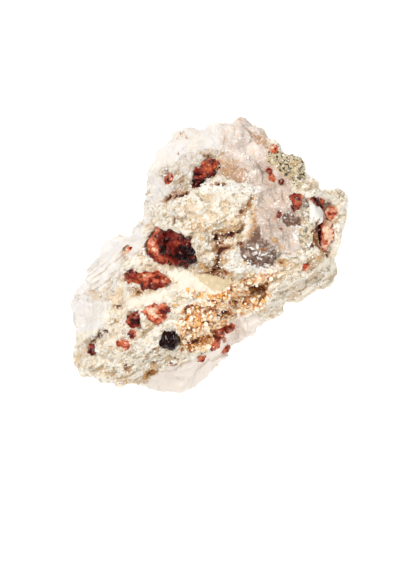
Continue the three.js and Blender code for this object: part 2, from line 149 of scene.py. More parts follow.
# Narrow features: from, to, half width, strength
# These dark strokes are partly real cracks and fissures and partly painted shade: shadow lines in crevices, under
# ledges and along edges, drawn dark like cracks. All of them are also sunk a little into the rock.
CRACKS_AND_SHADOW_LINES = [
    # behind the bulge of feldspar
    (-7, 9, -5.7, 9.7, 0.26, 0.8), (-5.8, 9.7, -4.6, 10.2, 0.38, 0.9), (-4.8, 10.1, -3.6, 10.1, 0.34, 1),
    (-3.2, 10.5, -2.6, 10.9, 0.16, 0.6), (0.4, 11.2, 1.2, 11.6, 0.16, 0.6), (1.2, 11.6, 2.4, 11.7, 0.2, 0.9),
    (-5.3, 6.4, -5.7, 5.2, 0.18, 0.8), (-5, 6.5, -4.7, 6.4, 0.16, 0.8),
    # in front of it
    (0.9, 3, 1.5, 3.2, 0.3, 1), (1.3, 3.4, 2.6, 3.5, 0.44, 1), (2.5, 3.6, 3.5, 3.9, 0.38, 1),
    (3.5, 3.9, 4.7, 4.2, 0.16, 0.8), (0.8, 1.4, 1.3, 2, 0.3, 1), (1.4, 2.2, 2.2, 2.7, 0.14, 0.7),
    (1.4, 0.7, 2.6, 1.7, 0.3, 1), (1, 0, 1.5, 0.8, 0.26, 0.9), (1.2, -0.5, 1.3, -1.3, 0.42, 1),
    (1.4, -1.4, 0.4, -2.2, 0.26, 1), (-1.4, -2.2, 0.3, -2.4, 0.14, 0.8), (1.4, -2.5, 2.1, -2.5, 0.2, 0.9),
    (-2.2, -2.3, 0.4, -2.5, 0.16, 0.6), (0.6, -2.6, 3.8, -3.6, 0.14, 0.6),
    # down the side of the bulge
    (5.2, 7.5, 5.2, 6.9, 0.24, 0.8), (6.6, 9.6, 6.5, 9.2, 0.22, 0.8), (6.2, 8.8, 6.3, 8.2, 0.26, 0.8),
    (6.6, 7.2, 6.6, 7, 0.2, 0.7), (7.1, 5.9, 7.3, 5.5, 0.2, 0.6), (4.6, 2, 5.2, 2.2, 0.24, 0.8),
    # in the crumbly trough
    (6.5, -4.6, 7.4, -4.7, 0.45, 0.95), (6.8, -5.2, 7, -5.2, 0.3, 0.9), (8.1, -6.6, 8.4, -6.1, 0.28, 1),
    (7.4, -6.4, 7.6, -6.4, 0.24, 0.9), (5.4, -6.9, 5.7, -7, 0.28, 0.9), (3.6, -7.2, 4, -7, 0.26, 0.8),
    (1.8, -9.2, 2.3, -8.6, 0.32, 1), (2.6, -9.3, 3, -9.4, 0.3, 1), (2.4, -8.6, 2.8, -9.1, 0.24, 0.9),
    (-3.6, -8.2, -3.5, -8.8, 0.28, 1), (-3.4, -8.2, -2.2, -7.8, 0.2, 0.7), (1.7, -6.7, 2.1, -6.7, 0.22, 0.9),
    (0.9, -7.5, 1.3, -7.8, 0.24, 0.8), (-3.8, -11.7, -3.2, -11.5, 0.3, 0.9),
    (-2.6, -13.6, -1.8, -13.4, 0.32, 0.8), (-1.4, -13, -1.1, -13.2, 0.24, 0.8),
    (-1, -10.2, 0, -10.2, 0.24, 0.6), (0.8, -10.8, 0.8, -12.6, 0.2, 0.8),
    (-4.1, -14.5, -3.5, -14.4, 0.22, 0.7), (-3.7, -13.2, -3.5, -13, 0.2, 0.8),
    # round the shelf garnets
    (-13.1, -2.3, -13.6, -2.9, 0.16, 0.9), (-13.6, -2.9, -13.1, -3.7, 0.18, 0.9),
    (-12.9, -3.8, -12.5, -4, 0.16, 0.9), (-12.2, -4.9, -11.8, -5, 0.18, 0.6),
    (-11.5, -5.6, -11.1, -5.5, 0.24, 0.8), (-14.6, -7.7, -14.3, -7.8, 0.26, 0.7),
    (-15.4, -5.5, -15.3, -5.5, 0.18, 0.7),
    # front left
    (-16.6, -11.6, -16.4, -11.7, 0.2, 1), (-17.5, -12.5, -17.2, -12.6, 0.22, 1),
    (-18.9, -13.3, -18.5, -13.4, 0.24, 0.9), (-19.7, -13.2, -18.9, -13.3, 0.14, 0.6),
    (-13.5, -17.6, -13, -17.6, 0.28, 1), (-13, -17.7, -11.8, -17.5, 0.14, 0.5),
    (-9.6, -18.6, -9.2, -18.3, 0.34, 0.9), (-9, -14.6, -8, -14.2, 0.18, 0.6),
    (-10.8, -16, -9.4, -15.6, 0.14, 0.6), (-8.6, -15.6, -7.4, -15.4, 0.16, 0.6),
    (-9.2, -16.6, -8.4, -16.2, 0.2, 0.6), (-6.2, -16.8, -5.2, -17, 0.16, 0.7),
    (-5.6, -16, -4.9, -16.3, 0.18, 0.6), (-8.4, -17.6, -7.8, -17.4, 0.14, 0.5),
    # round the right-hand hollow, with the painted shadow down its left side and along the left edge of the white
    # blade
    (17.2, 5.5, 17, 4.4, 0.3, 1), (17, 4.4, 17, 2.8, 0.36, 1), (16.7, 2.6, 16.3, 1.8, 0.2, 0.8),
    (16.6, 4.6, 16.6, 4.1, 0.14, 1), (16.5, 9, 17.8, 7.3, 0.16, 1), (17.8, 6.4, 17.2, 5.7, 0.18, 1),
    (15.3, 9.8, 15.7, 8.4, 0.14, 0.7), (15.7, 8.2, 16, 6.9, 0.12, 0.5), (16.2, 6.4, 16.8, 5.6, 0.1, 0.5),
    (18.5, 0.7, 18.4, 0.2, 0.24, 0.8), (19.9, 4.1, 19.9, 3.9, 0.14, 0.6), (20.8, 9.6, 20.9, 9, 0.2, 0.5),
    # right-hand edge, lower ledge and the top
    (14.4, -5.6, 14.7, -5.4, 0.24, 0.7), (17.6, -4.6, 17.8, -4.7, 0.2, 0.5), (10.8, -5.6, 11, -5.4, 0.2, 0.6),
    (-4.9, 16.6, -4.6, 16.4, 0.18, 0.6), (-4, 16.1, -3.9, 16.1, 0.18, 0.6), (-0.5, 16.2, 0, 15.9, 0.24, 0.7),
    (-9.9, 8.1, -9.9, 7.9, 0.18, 0.5), (-4.6, 11.5, -4.5, 11.2, 0.22, 0.6), (-4.5, 12.2, -4.4, 12.1, 0.18, 0.6),
]
STAINS = [
    (-4.9, 19.3, -3.6, 19.1, 0.6, 0.5), (-3.5, 18.3, -3.6, 17.2, 0.3, 0.3), (-4, 14.6, -2.6, 14.5, 0.4, 0.4),
    (-5.2, 13.2, -3.4, 12.4, 0.7, 0.35), (-4, 10.9, -2.8, 11.2, 0.5, 0.4), (1.6, 15.2, 3.6, 15, 0.6, 0.55),
    (2, 14.4, 2.8, 13.6, 0.7, 0.45), (0.2, 12.9, 2.4, 13.3, 0.5, 0.45), (1.2, 12, 2.6, 12.3, 0.4, 0.4),
    (-6.8, 8.2, -7.8, 8.3, 0.5, 0.3), (1.3, 9, 1.9, 8.2, 0.45, 0.4), (2.2, 9.6, 3.4, 9.2, 0.35, 0.25),
    (0, 7.3, 1, 6.8, 0.4, 0.5), (1, 6.8, 2, 6.3, 0.35, 0.35), (6.9, 9.8, 6.2, 8.4, 0.5, 0.7),
    (6.2, 8.4, 5.2, 7.2, 0.6, 0.6), (5, 8.8, 4.4, 7.2, 0.7, 0.4), (7.2, 8, 7, 5.6, 0.5, 0.5),
    (7.3, 5.4, 6.2, 3.4, 0.6, 0.55), (5.4, 7, 3.6, 5.2, 0.6, 0.5), (5.4, 5.6, 4, 4.9, 0.5, 0.6),
    (-4.2, 5, -2.6, 4.4, 0.4, 0.5), (-3, 3, -2.2, 2.2, 0.4, 0.45), (-2, 0.2, -0.8, -0.9, 0.8, 0.55),
    (-1.2, -1.5, 0.6, -2.2, 0.7, 0.8), (-8.2, -1.2, -4.6, -1.6, 0.35, 0.4), (1.2, 4.2, 4.6, 4.9, 0.5, 0.7),
    (1, -0.8, 2.9, -0.2, 0.6, 0.7), (1.8, -1.5, 3.4, -2.6, 0.7, 0.75), (2.2, 0.5, 3.8, 1.4, 0.5, 0.5),
    (3.3, 1.4, 4.4, 1.5, 0.35, 0.6), (0.6, 2.2, 1.8, 1.2, 0.9, 0.55), (4.6, -0.7, 5.4, -0.6, 0.4, 0.6),
    (5.4, -2.9, 7, -3.1, 0.6, 0.5), (7, -2.2, 10.6, -2, 0.5, 0.45), (10, 3.2, 10.6, 2.5, 0.4, 0.6),
    (11.2, 1.6, 12.2, 1.7, 0.35, 0.55), (11.3, -0.6, 12.1, -1.1, 0.6, 0.75), (12.6, 0.8, 13.4, 0.2, 0.5, 0.4),
    (9.8, 7.2, 10.1, 5.8, 0.4, 0.35), (12, 8.4, 12.6, 9.4, 0.4, 0.35), (16.6, -0.2, 17.8, 0.8, 0.7, 0.6),
    (17.2, -0.8, 15, -3, 0.8, 0.3), (18.6, 9.2, 19.2, 8.6, 0.4, 0.4), (21.4, 7.6, 21.1, 5.2, 0.4, 0.3),
    (20.3, 6.6, 20.2, 6, 0.35, 0.5), (-14.2, -5.8, -13.6, -6.6, 0.5, 0.45),
    (-15.2, -7.2, -15.1, -8.3, 0.5, 0.45), (-14.6, -0.1, -12.6, -0.6, 0.4, 0.3),
    (-19, -6.6, -16.6, -5.6, 0.5, 0.25), (-15.4, -10, -12.8, -11, 0.3, 0.4),
    (-15.4, -11.4, -15.6, -12.4, 0.4, 0.4), (-15.9, -13.6, -15.4, -14.6, 0.4, 0.45),
    (-16.6, -15.2, -16.4, -16.2, 0.4, 0.4), (-20.5, -17, -14, -19.4, 0.8, 0.45),
    (-17, -17.6, -12, -19, 0.5, 0.3), (-14, -19.6, -11, -19.4, 0.6, 0.4),
    (-10, -19, -8.8, -17.2, 0.7, 0.85), (-6.4, -3.4, -5.6, -4, 0.5, 0.5), (-11.6, -5.2, -10.6, -5.6, 0.4, 0.75),
    (-6, -7.8, -5, -7.6, 0.3, 0.7), (-4.6, -6.6, -4.4, -7.2, 0.3, 0.5), (-5, -9.2, -4.6, -10.4, 0.4, 0.5),
    (-4.9, -12.4, -4.5, -13.6, 0.45, 0.95), (8.2, 1.2, 8.7, 1.1, 0.3, 0.9), (15.2, -1.4, 15.2, -1.5, 0.5, 0.4),
    (17, 3, 17.8, 0.9, 0.7, 0.9), (-3, 5.4, 0.2, 4.4, 0.7, 0.5), (-1.8, 3.6, 0.6, 3, 0.7, 0.45),
    (2.6, 5.8, 4.6, 3.2, 0.6, 0.55), (2.6, 18.8, 3.8, 17, 0.5, 0.4), (10.4, 3, 10.8, 2.4, 0.35, 0.8),
]
RUST = [
    (-3.6, -8, -1, -7.8, 0.4, 0.8), (-1, -8, 1.2, -8.2, 0.4, 0.7), (0.2, -7, 2.2, -6.7, 0.35, 0.7),
    (3.2, -7, 4.4, -7.1, 0.5, 0.7), (5.2, -7, 6.4, -7.2, 0.5, 0.6), (6.6, -7.3, 8.4, -7.2, 0.4, 0.6),
    (6.2, -4.9, 8.2, -4.7, 0.7, 0.7), (8, -6.8, 8.6, -5.8, 0.5, 0.7), (3.4, -5.4, 4.2, -4.8, 0.45, 0.8),
    (5.4, -3.6, 6.2, -3.2, 0.4, 0.5), (-2.8, -6.4, -1.4, -5.8, 0.4, 0.4), (-3.4, -9.4, -1.4, -9.2, 0.5, 0.45),
    (-1, -10, 0.2, -10.4, 0.5, 0.7), (-3.8, -11.6, -3.1, -11.5, 0.5, 0.8), (-3, -13.8, -1.2, -13, 0.6, 0.75),
    (-4.2, -14.6, -2.6, -14.2, 0.4, 0.6), (-2.6, -12.2, -0.4, -12, 0.4, 0.4), (-0.6, -13, 0, -12.4, 0.35, 0.6),
    (1, -10.8, 2, -12.6, 0.7, 0.9), (2, -9.6, 3.2, -9, 0.7, 0.6), (3.4, -9.4, 4, -9, 0.3, 0.6),
    (-5, -9.6, -4.4, -10.2, 0.4, 0.35), (1.4, -6.8, 2.2, -6.6, 0.3, 0.7), (0.8, -7.6, 1.6, -7.8, 0.4, 0.7),
    (9.4, -2.6, 8.2, -2.4, 0.4, 0.4), (-3.6, -5.4, -2.4, -5.6, 0.4, 0.35), (0.6, -2.4, 2.6, -2.4, 0.4, 0.7),
    (17, 2.9, 17.5, 1.6, 0.5, 0.8), (11.3, 4.5, 11.5, 4.5, 0.22, 0.95), (11.4, -0.8, 11.8, -0.9, 0.3, 0.8),
    (1.4, 2.4, 2.4, 1.4, 0.5, 0.6), (4.4, 6.6, 5.6, 7.4, 0.3, 0.5), (8.3, 1.2, 8.6, 1.2, 0.25, 0.8),
]
WHITE_FUZZ = [
    (-1, 11, 7.5, 10.9, 0.9, 0.8), (5.6, 12.4, 7, 13.6, 0.7, 0.6), (3.6, -1.6, 10.4, -2.2, 0.6, 0.9),
    (3.4, 0.4, 4.4, -0.4, 0.8, 0.7), (6.3, 1.6, 6.7, 1.3, 0.2, 0.9), (7.5, 2.3, 7.7, 1.5, 0.22, 0.95),
    (7, 0.6, 8, 0.7, 0.22, 0.9), (8.4, 0.4, 9.2, 0.6, 0.2, 0.9), (7.9, -0.1, 8.3, -0.3, 0.2, 0.8),
    (5.9, -0.7, 6.6, -0.8, 0.26, 0.9), (8.9, -1, 10.2, -1.5, 0.3, 0.9), (5.4, 0.6, 5.8, 0.2, 0.2, 0.8),
    (12.4, 9.6, 12.8, 8.2, 0.5, 0.6), (13.6, 4.6, 13.9, 2.6, 0.5, 0.7),
    (10.6, 1.4, 12.4, 1, 0.4, 0.5), (14.4, 8.6, 15, 6.9, 0.5, 0.6), (-7.4, 2.6, -7.4, 1.4, 0.2, 0.4),
    (2, -1.2, 4.4, -2.4, 0.4, 0.5), (5, 16.4, 6, 16.2, 0.5, 0.5), (10.6, 8.6, 11.6, 7.6, 0.4, 0.4),
]
# Grey bands: partly lines along the foliation, partly painted shade under the bulge, along the left flank edge
# and in creases
GREY_LINES_AND_SHADE = [
    (-20, -5.8, -15, -3.4, 1.6, 0.45), (-18.6, -2.6, -13.8, -0.4, 1.5, 0.4), (-13, -14.6, -5, -15.4, 1.6, 0.7),
    (-12, -12.4, -8.6, -11, 1.4, 0.6), (-19, -17.6, -9.5, -18.6, 1.5, 0.5), (-6.5, 6, 2, 6.2, 1.2, 0.5),
    (-1.5, 4, -1, 1, 1.6, 0.4), (-5, 12.5, -3, 12, 1.4, 0.6), (9.5, -6, 15.5, -1, 2.2, 0.55),
    (14.5, -5, 19, -2.6, 1.4, 0.6), (-9.9, 12, -9.8, 8.5, 0.5, 0.8), (-2.6, -9.6, 0.6, -9, 1.6, 0.3),
    (-10.4, -10.2, -8.6, -11.2, 0.8, 0.6), (-1.2, 16.2, 0.2, 17, 0.5, 0.5), (-1, 5.2, 4, 3.9, 1.4, 0.55),
]

# How bright each garnet is, from 0, nearly black, to 1, pale orange
GARNET_BRIGHTNESS = {
    "big_garnet": 0.3, "upper_garnets": 0.28, "left_garnet": 0.84, "shelf_garnets": 0.54,
    "dark_garnet": 0.42, "ring_garnet": 0.76, "black_garnet": 0.06, "red_bead_garnet": 0.62,
    "corner_garnet": 0.34, "brown_garnets": 0.86, "slim_garnet": 0.86, "right_garnet": 0.46,
    "blade_garnet": 0.56, "rim_garnet": 0.84, "peach_garnet": 1.1,
    "quartz_garnet_1": 0.46, "quartz_garnet_2": 0.62, "quartz_garnet_3": 0.55, "quartz_garnet_4": 0.55,
    "orange_garnet": 0.86, "back_garnet": 0.86,
    "slab_garnet_1": 0.6, "slab_garnet_2": 0.55, "slab_garnet_3": 0.62, "slab_garnet_4": 0.62,
    "resin_garnet": 0.76,
}
# Brighter and darker parts of the garnets, partly their own and partly painted shade: from, to, half width,
# brightness there
GARNET_TONES_AND_SHADE = [
    (-9.4, 3.8, -9.2, -0.4, 1.2, 0.84), (-8.4, 4.8, -8.6, 3.2, 0.5, 0.6), (-7, -0.6, -9, 0.2, 0.6, 0.5),
    (-10.2, 2, -9.4, 1.8, 0.6, 0.86), (-4.4, 0.6, -3, 0.4, 1.5, 0.1), (-6.4, 3.4, -5, 2.4, 0.7, 0.36),
    (-7.2, 1.2, -6.9, 2.6, 0.4, 0.12), (-4.8, -0.8, -2.4, 0, 0.2, 0.4), (-12, -2.4, -11.6, -2.4, 0.4, 0.5),
    (-0.2, 14.8, 0.8, 15.2, 1.3, 0.56), (0.4, 16, 0.9, 15.6, 0.5, 0.8), (-2.1, 13.6, -2, 13.6, 0.4, 0.42),
    (-2.7, 13, -1.3, 13, 0.16, 0.02), (-2, 12.5, -2.1, 12.5, 0.3, 0.3), (-2.8, 12, -1.2, 11.9, 0.16, 0.02),
    (-1.9, 11.5, -1.7, 11.5, 0.4, 0.4), (-1.2, 11.4, -1.1, 11.3, 0.4, 0.08),
    (-12.4, -2.6, -11.4, -3, 0.9, 0.28), (-10.8, -3, -7.4, -3.4, 0.6, 0.76),
    (-11.4, -4.8, -7, -4.5, 0.5, 0.34), (-12, -10.2, -11.2, -10.2, 0.5, 0.1),
    (-8.9, -8.8, -8.2, -8.8, 0.8, 1.3), (-7.4, -8.4, -6.6, -8.2, 0.6, 0.4), (-9.4, -9.9, -8, -10.2, 0.4, 0.6),
    (14.2, 9.6, 14.2, 8.6, 0.4, 0.6), (17.3, 5.6, 17.4, 1.4, 0.36, 0.12), (18, 1.6, 18.1, 3.6, 0.4, 0.8),
    (18.4, 6.3, 19.4, 6.1, 0.3, 0.9), (16.6, 9.2, 17.6, 8, 0.3, 0.12), (2, -11, 2.2, -12, 0.5, 0.5),
    (18.8, 5.2, 19.2, 2.4, 0.8, 1.5),
]
SOCKET_GAP = 0.28  # round each garnet in the solids
GAP_SHARE = 0.6  # of the gap, which every crystal grows by
# How far a crystal is set over from its solid to right and up, and how much more it grows, so that it is
# seen at its measured place and size
GARNET_FITS = {
    "big_garnet": (0.46, -0.14, 0.12), "upper_garnets": (0.2, -0.4, 0.1), "left_garnet": (0.5, -0.3, 0.46),
    "shelf_garnets": (0.27, -0.04, 0.14), "dark_garnet": (0.2, 0.06, 0.24), "red_bead_garnet": (0, -0.2, 0.16),
    "corner_garnet": (0.1, -0.4, -0.04), "brown_garnets": (0.1, -0.06, 0.12), "slim_garnet": (0.4, -0.36, 0.32),
    "right_garnet": (-0.1, -0.08, 0.1), "blade_garnet": (-0.34, 0.26, 0.36), "rim_garnet": (0, -0.24, 0),
    "peach_garnet": (-0.26, 0.04, -0.16), "quartz_garnet_4": (-0.1, -0.2, 0), "back_garnet": (0.2, -0.16, 0.1),
    "ring_garnet": (-0.08, -0.05, 0.34), "black_garnet": (0.06, 0.16, 0.26), "quartz_garnet_1": (0.05, 0, 0),
    "slab_garnet_1": (0, 0.1, 0.34), "slab_garnet_2": (-0.08, 0.2, 0.54), "slab_garnet_3": (-0.25, 0.1, 0.24),
    "slab_garnet_4": (-0.25, 0.25, 0.46), "orange_garnet": (0.05, -0.05, 0.2),
}
# Places where the side of the rock is pushed out, or in where the last number is negative: place, reach, push
SIDE_PUSHES = [
    (18.6, 11.2, 1.8, -1.3), (3.2, 22, 2.2, -0.8), (12.4, 16.8, 2, -0.5), (-18.6, 0, 2.2, -0.4),
    (12.8, -7.6, 1.8, -0.8), (-20.6, -17.4, 3, 0.8), (2.6, -15.8, 2, 0.6), (6.4, -12.2, 1.6, 0.4),
    (-4.6, -20.4, 1.8, 0.6), (0.2, 20, 2, 0.4), (-16.8, -19.4, 2, 0.4), (-6.2, 20.4, 1.6, 0.5),
]


# Patterns in space, for points in millimetres
def cell_number(cells, seed):
    """A number from 0 to 1 for each cell of a grid in space, always the same for the same cell."""
    mixed = np.sin(cells @ np.array([127.1, 311.7, 74.7]) + seed * 19.19) * 43758.5453
    return mixed - np.floor(mixed)


def bumps(points, size, seed=0):
    """Smooth bumps about size across, from -1 to 1."""
    scaled = points / size
    home = np.floor(scaled)
    share = scaled - home
    share = share ** 3 * (share * (share * 6 - 15) + 10)
    total = np.zeros(len(points))
    for corner in itertools.product((0, 1), repeat=3):
        weight = np.prod(np.where(corner, share, 1 - share), axis=1)
        total += weight * cell_number(home + corner, seed)
    return 2 * total - 1


def rough_bumps(points, size, seed=0, layers=3):
    """Bumps with smaller ones on them, from about -1 to 1."""
    return sum(bumps(points, size / 2 ** i, seed + i) / 2 ** i for i in range(layers)) / 1.6


def facets(points, size, seed=0):
    """The height of broken facets about size across, each a slanting plane."""
    scaled = points / size
    home = np.floor(scaled)
    nearest = np.full(len(points), np.inf)
    height = np.zeros(len(points))
    for step in itertools.product((-1, 0, 1), repeat=3):
        cell = home + step
        middle = cell + np.stack([cell_number(cell, seed + k) for k in range(3)], axis=1)
        away = scaled - middle
        distance = (away ** 2).sum(axis=1)
        lean = np.stack([cell_number(cell, seed + 3 + k) - 0.5 for k in range(3)], axis=1)
        plane = cell_number(cell, seed + 6) - 0.5 + 1.6 * (away * lean).sum(axis=1)
        closer = distance < nearest
        nearest = np.where(closer, distance, nearest)
        height = np.where(closer, plane, height)
    return height


def fade(low, high, values):
    """0 at low, 1 at high, and a smooth change between. It falls where high is the smaller."""
    share = np.clip((values - low) / (high - low), 0, 1)
    return share * share * (3 - 2 * share)


def line_distance(points, ax, ay, bx, by):
    """Distance seen from above to the line from a to b."""
    px, py = points[:, 0] - ax, points[:, 1] - ay
    dx, dy = bx - ax, by - ay
    share = np.clip((px * dx + py * dy) / max(dx * dx + dy * dy, 1e-9), 0, 1)
    return np.hypot(px - share * dx, py - share * dy)


def inside(points, corners, soft=0.35):
    """1 inside an area seen from above, 0 outside it, and a soft edge between."""
    x, y = points[:, 0], points[:, 1]
    within = np.zeros(len(points), bool)
    edge_distance = np.full(len(points), np.inf)
    for (ax, ay), (bx, by) in zip(corners, corners[1:] + corners[:1]):
        crosses = (ay > y) != (by > y)
        with np.errstate(divide="ignore", invalid="ignore"):
            at = ax + (y - ay) / (by - ay) * (bx - ax)
        within ^= crosses & (x < at)
        edge_distance = np.minimum(edge_distance, line_distance(points, ax, ay, bx, by))
    return fade(-soft, soft, np.where(within, edge_distance, -edge_distance))


def inside_any(points, areas, soft=0.35):
    """1 inside one or another of several areas."""
    return np.max([inside(points, corners, soft) for corners in areas], axis=0)


def strokes(points, lines, soft=0.5, widen=1.0):
    """The strongest of a list of narrow features at each point, from 0 to 1."""
    strength = np.zeros(len(points))
    for ax, ay, bx, by, wide, strong in lines:
        reach = line_distance(points, ax, ay, bx, by) / (wide * widen)
        strength = np.maximum(strength, strong * (1 - fade(1 - soft, 1 + soft, reach)))
    return strength


def wavered(points, size, far, seed):
    """The points moved about sideways, so that edges come out ragged."""
    shift = np.stack([rough_bumps(points, size, seed + 10 * k) for k in range(3)], axis=1)
    return points + far * shift


# Mesh helpers
def only(piece):
    """Selects one object and nothing else."""
    bpy.ops.object.select_all(action="DESELECT")
    piece.select_set(True)
    bpy.context.view_layer.objects.active = piece


def copy_of_solid(node, name):
    """A welded copy of a solid, as an object of its own."""
    piece = bpy.data.objects.new(name, frame["nodes"][node].data.copy())
    piece.data.name = name
    bpy.context.scene.collection.objects.link(piece)
    only(piece)
    bpy.ops.object.mode_set(mode="EDIT")
    bpy.ops.mesh.select_all(action="SELECT")
    bpy.ops.mesh.remove_doubles(threshold=WELD)
    bpy.ops.object.mode_set(mode="OBJECT")
    return piece


def points_of(piece):
    """A mesh's points in millimetres, and the outward direction at each."""
    count = len(piece.data.vertices)
    points = np.empty(count * 3)
    piece.data.vertices.foreach_get("co", points)
    outward = np.empty(count * 3)
    piece.data.vertices.foreach_get("normal", outward)
    return points.reshape(-1, 3) / MM, outward.reshape(-1, 3)


def set_points(piece, points):
    piece.data.vertices.foreach_set("co", (points * MM).ravel())
    piece.data.update()


def store(piece, name, values):
    """Keeps a number for each point of a mesh, for its material to read."""
    attribute = piece.data.attributes.new(name, "FLOAT", "POINT")
    attribute.data.foreach_set("value", np.asarray(values, np.float32))


def stored(piece, *names):
    """The numbers kept for each point under each name."""
    values = np.empty((len(names), len(piece.data.vertices)), np.float32)
    for name, row in zip(names, values):
        piece.data.attributes[name].data.foreach_get("value", row)
    return values


def refine(piece, longest):
    """Cuts every edge that is longer than this many millimetres."""
    mesh = bmesh.new()
    mesh.from_mesh(piece.data)
    for _ in range(7):
        long_edges = [e for e in mesh.edges if e.calc_length() > longest * MM]
        if not long_edges:
            break
        bmesh.ops.subdivide_edges(mesh, edges=long_edges, cuts=1)
        bmesh.ops.triangulate(mesh, faces=mesh.faces[:])
    mesh.to_mesh(piece.data)
    mesh.free()


def finish_piece(piece, material, node_names):
    """Gives a piece its material and slot, and sets it on the one body in place of its solids."""
    piece.data.materials.clear()
    piece.data.materials.append(material)
    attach(piece, "root")
    if node_names:
        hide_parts(*node_names)


# Materials
def linear(hex_colour):
    """An sRGB hex colour as the linear one that the shader takes."""
    parts = [int(hex_colour[i:i + 2], 16) / 255 for i in (0, 2, 4)]
    return tuple(p / 12.92 if p <= 0.04045 else ((p + 0.055) / 1.055) ** 2.4 for p in parts) + (1.0,)


def add(tree, kind, inputs, output=None, **settings):
    """Adds a node with its settings, sets or links its inputs, and returns its named or first live output.
    An input given as text is a hex colour."""
    node = tree.nodes.new(kind)
    for name, value in settings.items():
        setattr(node, name, value)
    for name, value in inputs.items():
        socket = node.inputs[name] if isinstance(name, int) else next(
            s for s in node.inputs if s.enabled and s.name == name)
        if isinstance(value, bpy.types.NodeSocket):
            tree.links.new(value, socket)
        else:
            socket.default_value = linear(value) if isinstance(value, str) else value
    return next((s for s in node.outputs if s.enabled and output in (None, s.name)), None)


def new_material(name):
    """A material with an empty node tree, and the place of each point on the object."""
    material = bpy.data.materials.new(name)
    material.use_nodes = True
    tree = material.node_tree
    tree.nodes.clear()
    return material, tree, add(tree, "ShaderNodeTexCoord", {}, output="Object")


def mottle(tree, place, size_mm, low, high, detail=3.0):
    """Blotches about size_mm across, from 0 where the noise is under low to 1 where it is over high."""
    noise = add(tree, "ShaderNodeTexNoise", {
        "Vector": place, "Scale": 1 / (size_mm * MM), "Detail": detail, "Roughness": 0.6})
    return add(tree, "ShaderNodeMapRange", {"Value": noise, "From Min": low, "From Max": high})


def ragged(tree, place, name, size_mm, spread=0.6):
    """A stored amount with its edges broken up by grains about size_mm across."""
    noise = mottle(tree, place, size_mm, 0.3, 0.7, 4.0)
    amount = add(tree, "ShaderNodeAttribute", {}, output="Fac", attribute_name=name)
    both = add(tree, "ShaderNodeMath", {0: noise, 1: -spread, 2: amount}, operation="MULTIPLY_ADD")
    return add(tree, "ShaderNodeMapRange", {"Value": both, "From Min": 0.02, "From Max": 0.3})


def seam_distance(tree, place, bend_mm, lump_mm):
    """Distance to the seams between lumps about lump_mm across, which are bent by up to bend_mm."""
    bend = add(tree, "ShaderNodeTexNoise", {"Vector": place, "Scale": 1 / (bend_mm * MM), "Detail": 3.0},
               output="Color")
    bent = add(tree, "ShaderNodeVectorMath", {0: bend, 1: (bend_mm * MM,) * 3, 2: place},
               operation="MULTIPLY_ADD")
    return add(tree, "ShaderNodeTexVoronoi", {"Vector": bent, "Scale": 1 / (lump_mm * MM)}, output="Distance",
               feature="DISTANCE_TO_EDGE")


def layered(tree, base, layers):
    """Lays colours over a base, each as far as the product of its amounts says."""
    for colour, share, *amounts in layers:
        for amount in amounts:
            share = add(tree, "ShaderNodeMath", {0: share, 1: amount}, operation="MULTIPLY")
        base = add(tree, "ShaderNodeMix", {"Factor": share, "A": base, "B": colour}, data_type="RGBA")
    return base


def graded(tree, base, amount, bands):
    """Lays colours over a base as an amount rises, each from where it starts to show to where it is full."""
    return layered(tree, base, [
        (colour, add(tree, "ShaderNodeMapRange", {"Value": amount, "From Min": low, "From Max": high}))
        for low, high, colour in bands])


